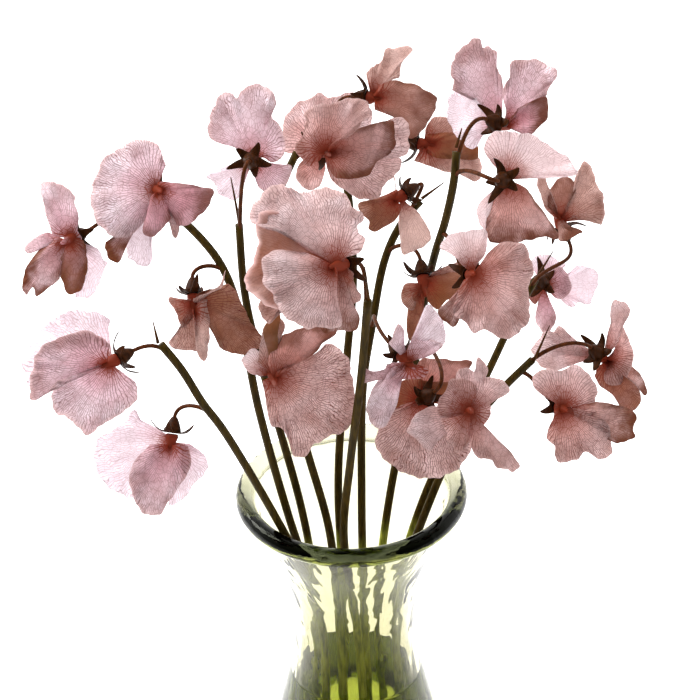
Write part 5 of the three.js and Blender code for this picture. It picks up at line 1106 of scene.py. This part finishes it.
def floor_material():
    """A plain matt white sweep that glows behind the vase, like a light table, and not in front of it."""
    material, tree, position = new_material("white_sweep")
    depth = node(tree, "SeparateXYZ", [position], output="Y")
    glow = node(tree, "MapRange", [depth, -0.14, -0.05, 0.0, 0.9], SMOOTH)
    paper = node(tree, "BsdfPrincipled",
                 {"Base Color": (0.85, 0.85, 0.85, 1.0), "Roughness": 0.9, "Emission Color": WHITE,
                  "Emission Strength": glow})
    node(tree, "OutputMaterial", {"Surface": paper})
    return material


# The camera, at the photograph's angle

# its focal length and the width of its frame in pixels, and its sensor and its place in millimetres
FOCAL_PX = 1904.8
FRAME_PX = 700
SENSOR = 36
CAMERA_AT = [0.97, -647.21, 660.23]
CAMERA_PITCH = math.radians(31.736)
CAMERA_ROLL = math.radians(-1.5)
# in metres, the floor's half width, and the soft light's place, the point it faces and its size
FLOOR_REACH = 6.0
LIGHT_AT = (-1.0, 0.4, 1.2)
LIGHT_TARGET = (0, 0, 0.25)
LIGHT_SIZE = 0.7
# in watts
LIGHT_POWER = 22


def set_camera():
    """Looks along +Y and down, with the small roll that the rim's tilt in the photograph asks for."""
    data = bpy.data.cameras.new("camera")
    data.sensor_width = SENSOR
    data.lens = FOCAL_PX / FRAME_PX * SENSOR
    data.clip_end = 20
    camera = placed("camera", data)
    turn = Matrix.Rotation(math.pi / 2 - CAMERA_PITCH, 4, "X") @ Matrix.Rotation(CAMERA_ROLL, 4, "Z")
    camera.matrix_world = Matrix.Translation(Vector(CAMERA_AT) * MM) @ turn
    bpy.context.scene.camera = camera


def set_floor():
    """A flat white floor, just under the vase's foot, wide enough to fill every view down on it."""
    corners = [(x * FLOOR_REACH, y * FLOOR_REACH, 0) for x, y in ((-1, -1), (1, -1), (1, 1), (-1, 1))]
    mesh = bpy.data.meshes.new("floor")
    mesh.from_pydata(corners, [], [(0, 1, 2, 3)])
    mesh.materials.append(floor_material())
    floor = placed("floor", mesh)


def set_light():
    """A studio, bright behind the flowers and dimmer in front, and a square soft light at the back left that
    faces the middle of the flowers."""
    scene = bpy.context.scene
    scene.view_settings.view_transform = "Standard"
    scene.world = bpy.data.worlds.new("studio")
    scene.world.use_nodes = True
    tree = scene.world.node_tree
    tree.nodes.clear()
    direction = node(tree, "TexCoord", output="Generated")
    back = node(tree, "SeparateXYZ", [direction]).node.outputs["Y"]
    up = back.node.outputs["Z"]
    open_sky = node(tree, "Math", [up, 0.8, back], TIMES_PLUS)
    strength = node(tree, "MapRange", [open_sky, -0.7, 0.5, 0.2, 1.5], SMOOTH)
    room = node(tree, "Background", [WHITE, strength])
    node(tree, "OutputWorld", {"Surface": room})
    data = bpy.data.lights.new("key", "AREA")
    data.size = LIGHT_SIZE
    data.energy = LIGHT_POWER
    light = placed("key", data)
    light.location = LIGHT_AT
    light.rotation_euler = (Vector(LIGHT_TARGET) - Vector(LIGHT_AT)).to_track_quat("-Z", "Y").to_euler()


# The whole scene

TISSUES = {
    "petal_rose": petal_material("petal_rose_tissue", "#fdeff1", "#dda8a0", 10.0),
    "petal_pale": petal_material("petal_pale_tissue", "#fdf4fa", "#e6bac6", 7.0),
    "petal_russet": petal_material("petal_russet_tissue", "#f2dcd6", "#bf9488", 8.0),
}
STEM = stem_material()

set_camera()
set_floor()
set_light()
make_piece("vase_glass", vase_parts(), glass_material(), "glass", "vase")
make_piece("vase_water", water_parts(), water_material(), "water", "water")
for name in STEMS:
    make_piece(f"fine_stem_{name}", stem_parts(name), STEM, "stem", f"stem_{name}")
for order, (name, bloom) in enumerate(BLOOMS.items()):
    petals = [petal_part(bloom, order, place) for place in range(len(bloom["petals"]))]
    parts = petals + [tube_and_keel(bloom)]
    make_piece(f"fine_bloom_{name}", parts, TISSUES[bloom["finish"]], bloom["finish"], f"bloom_{name}")
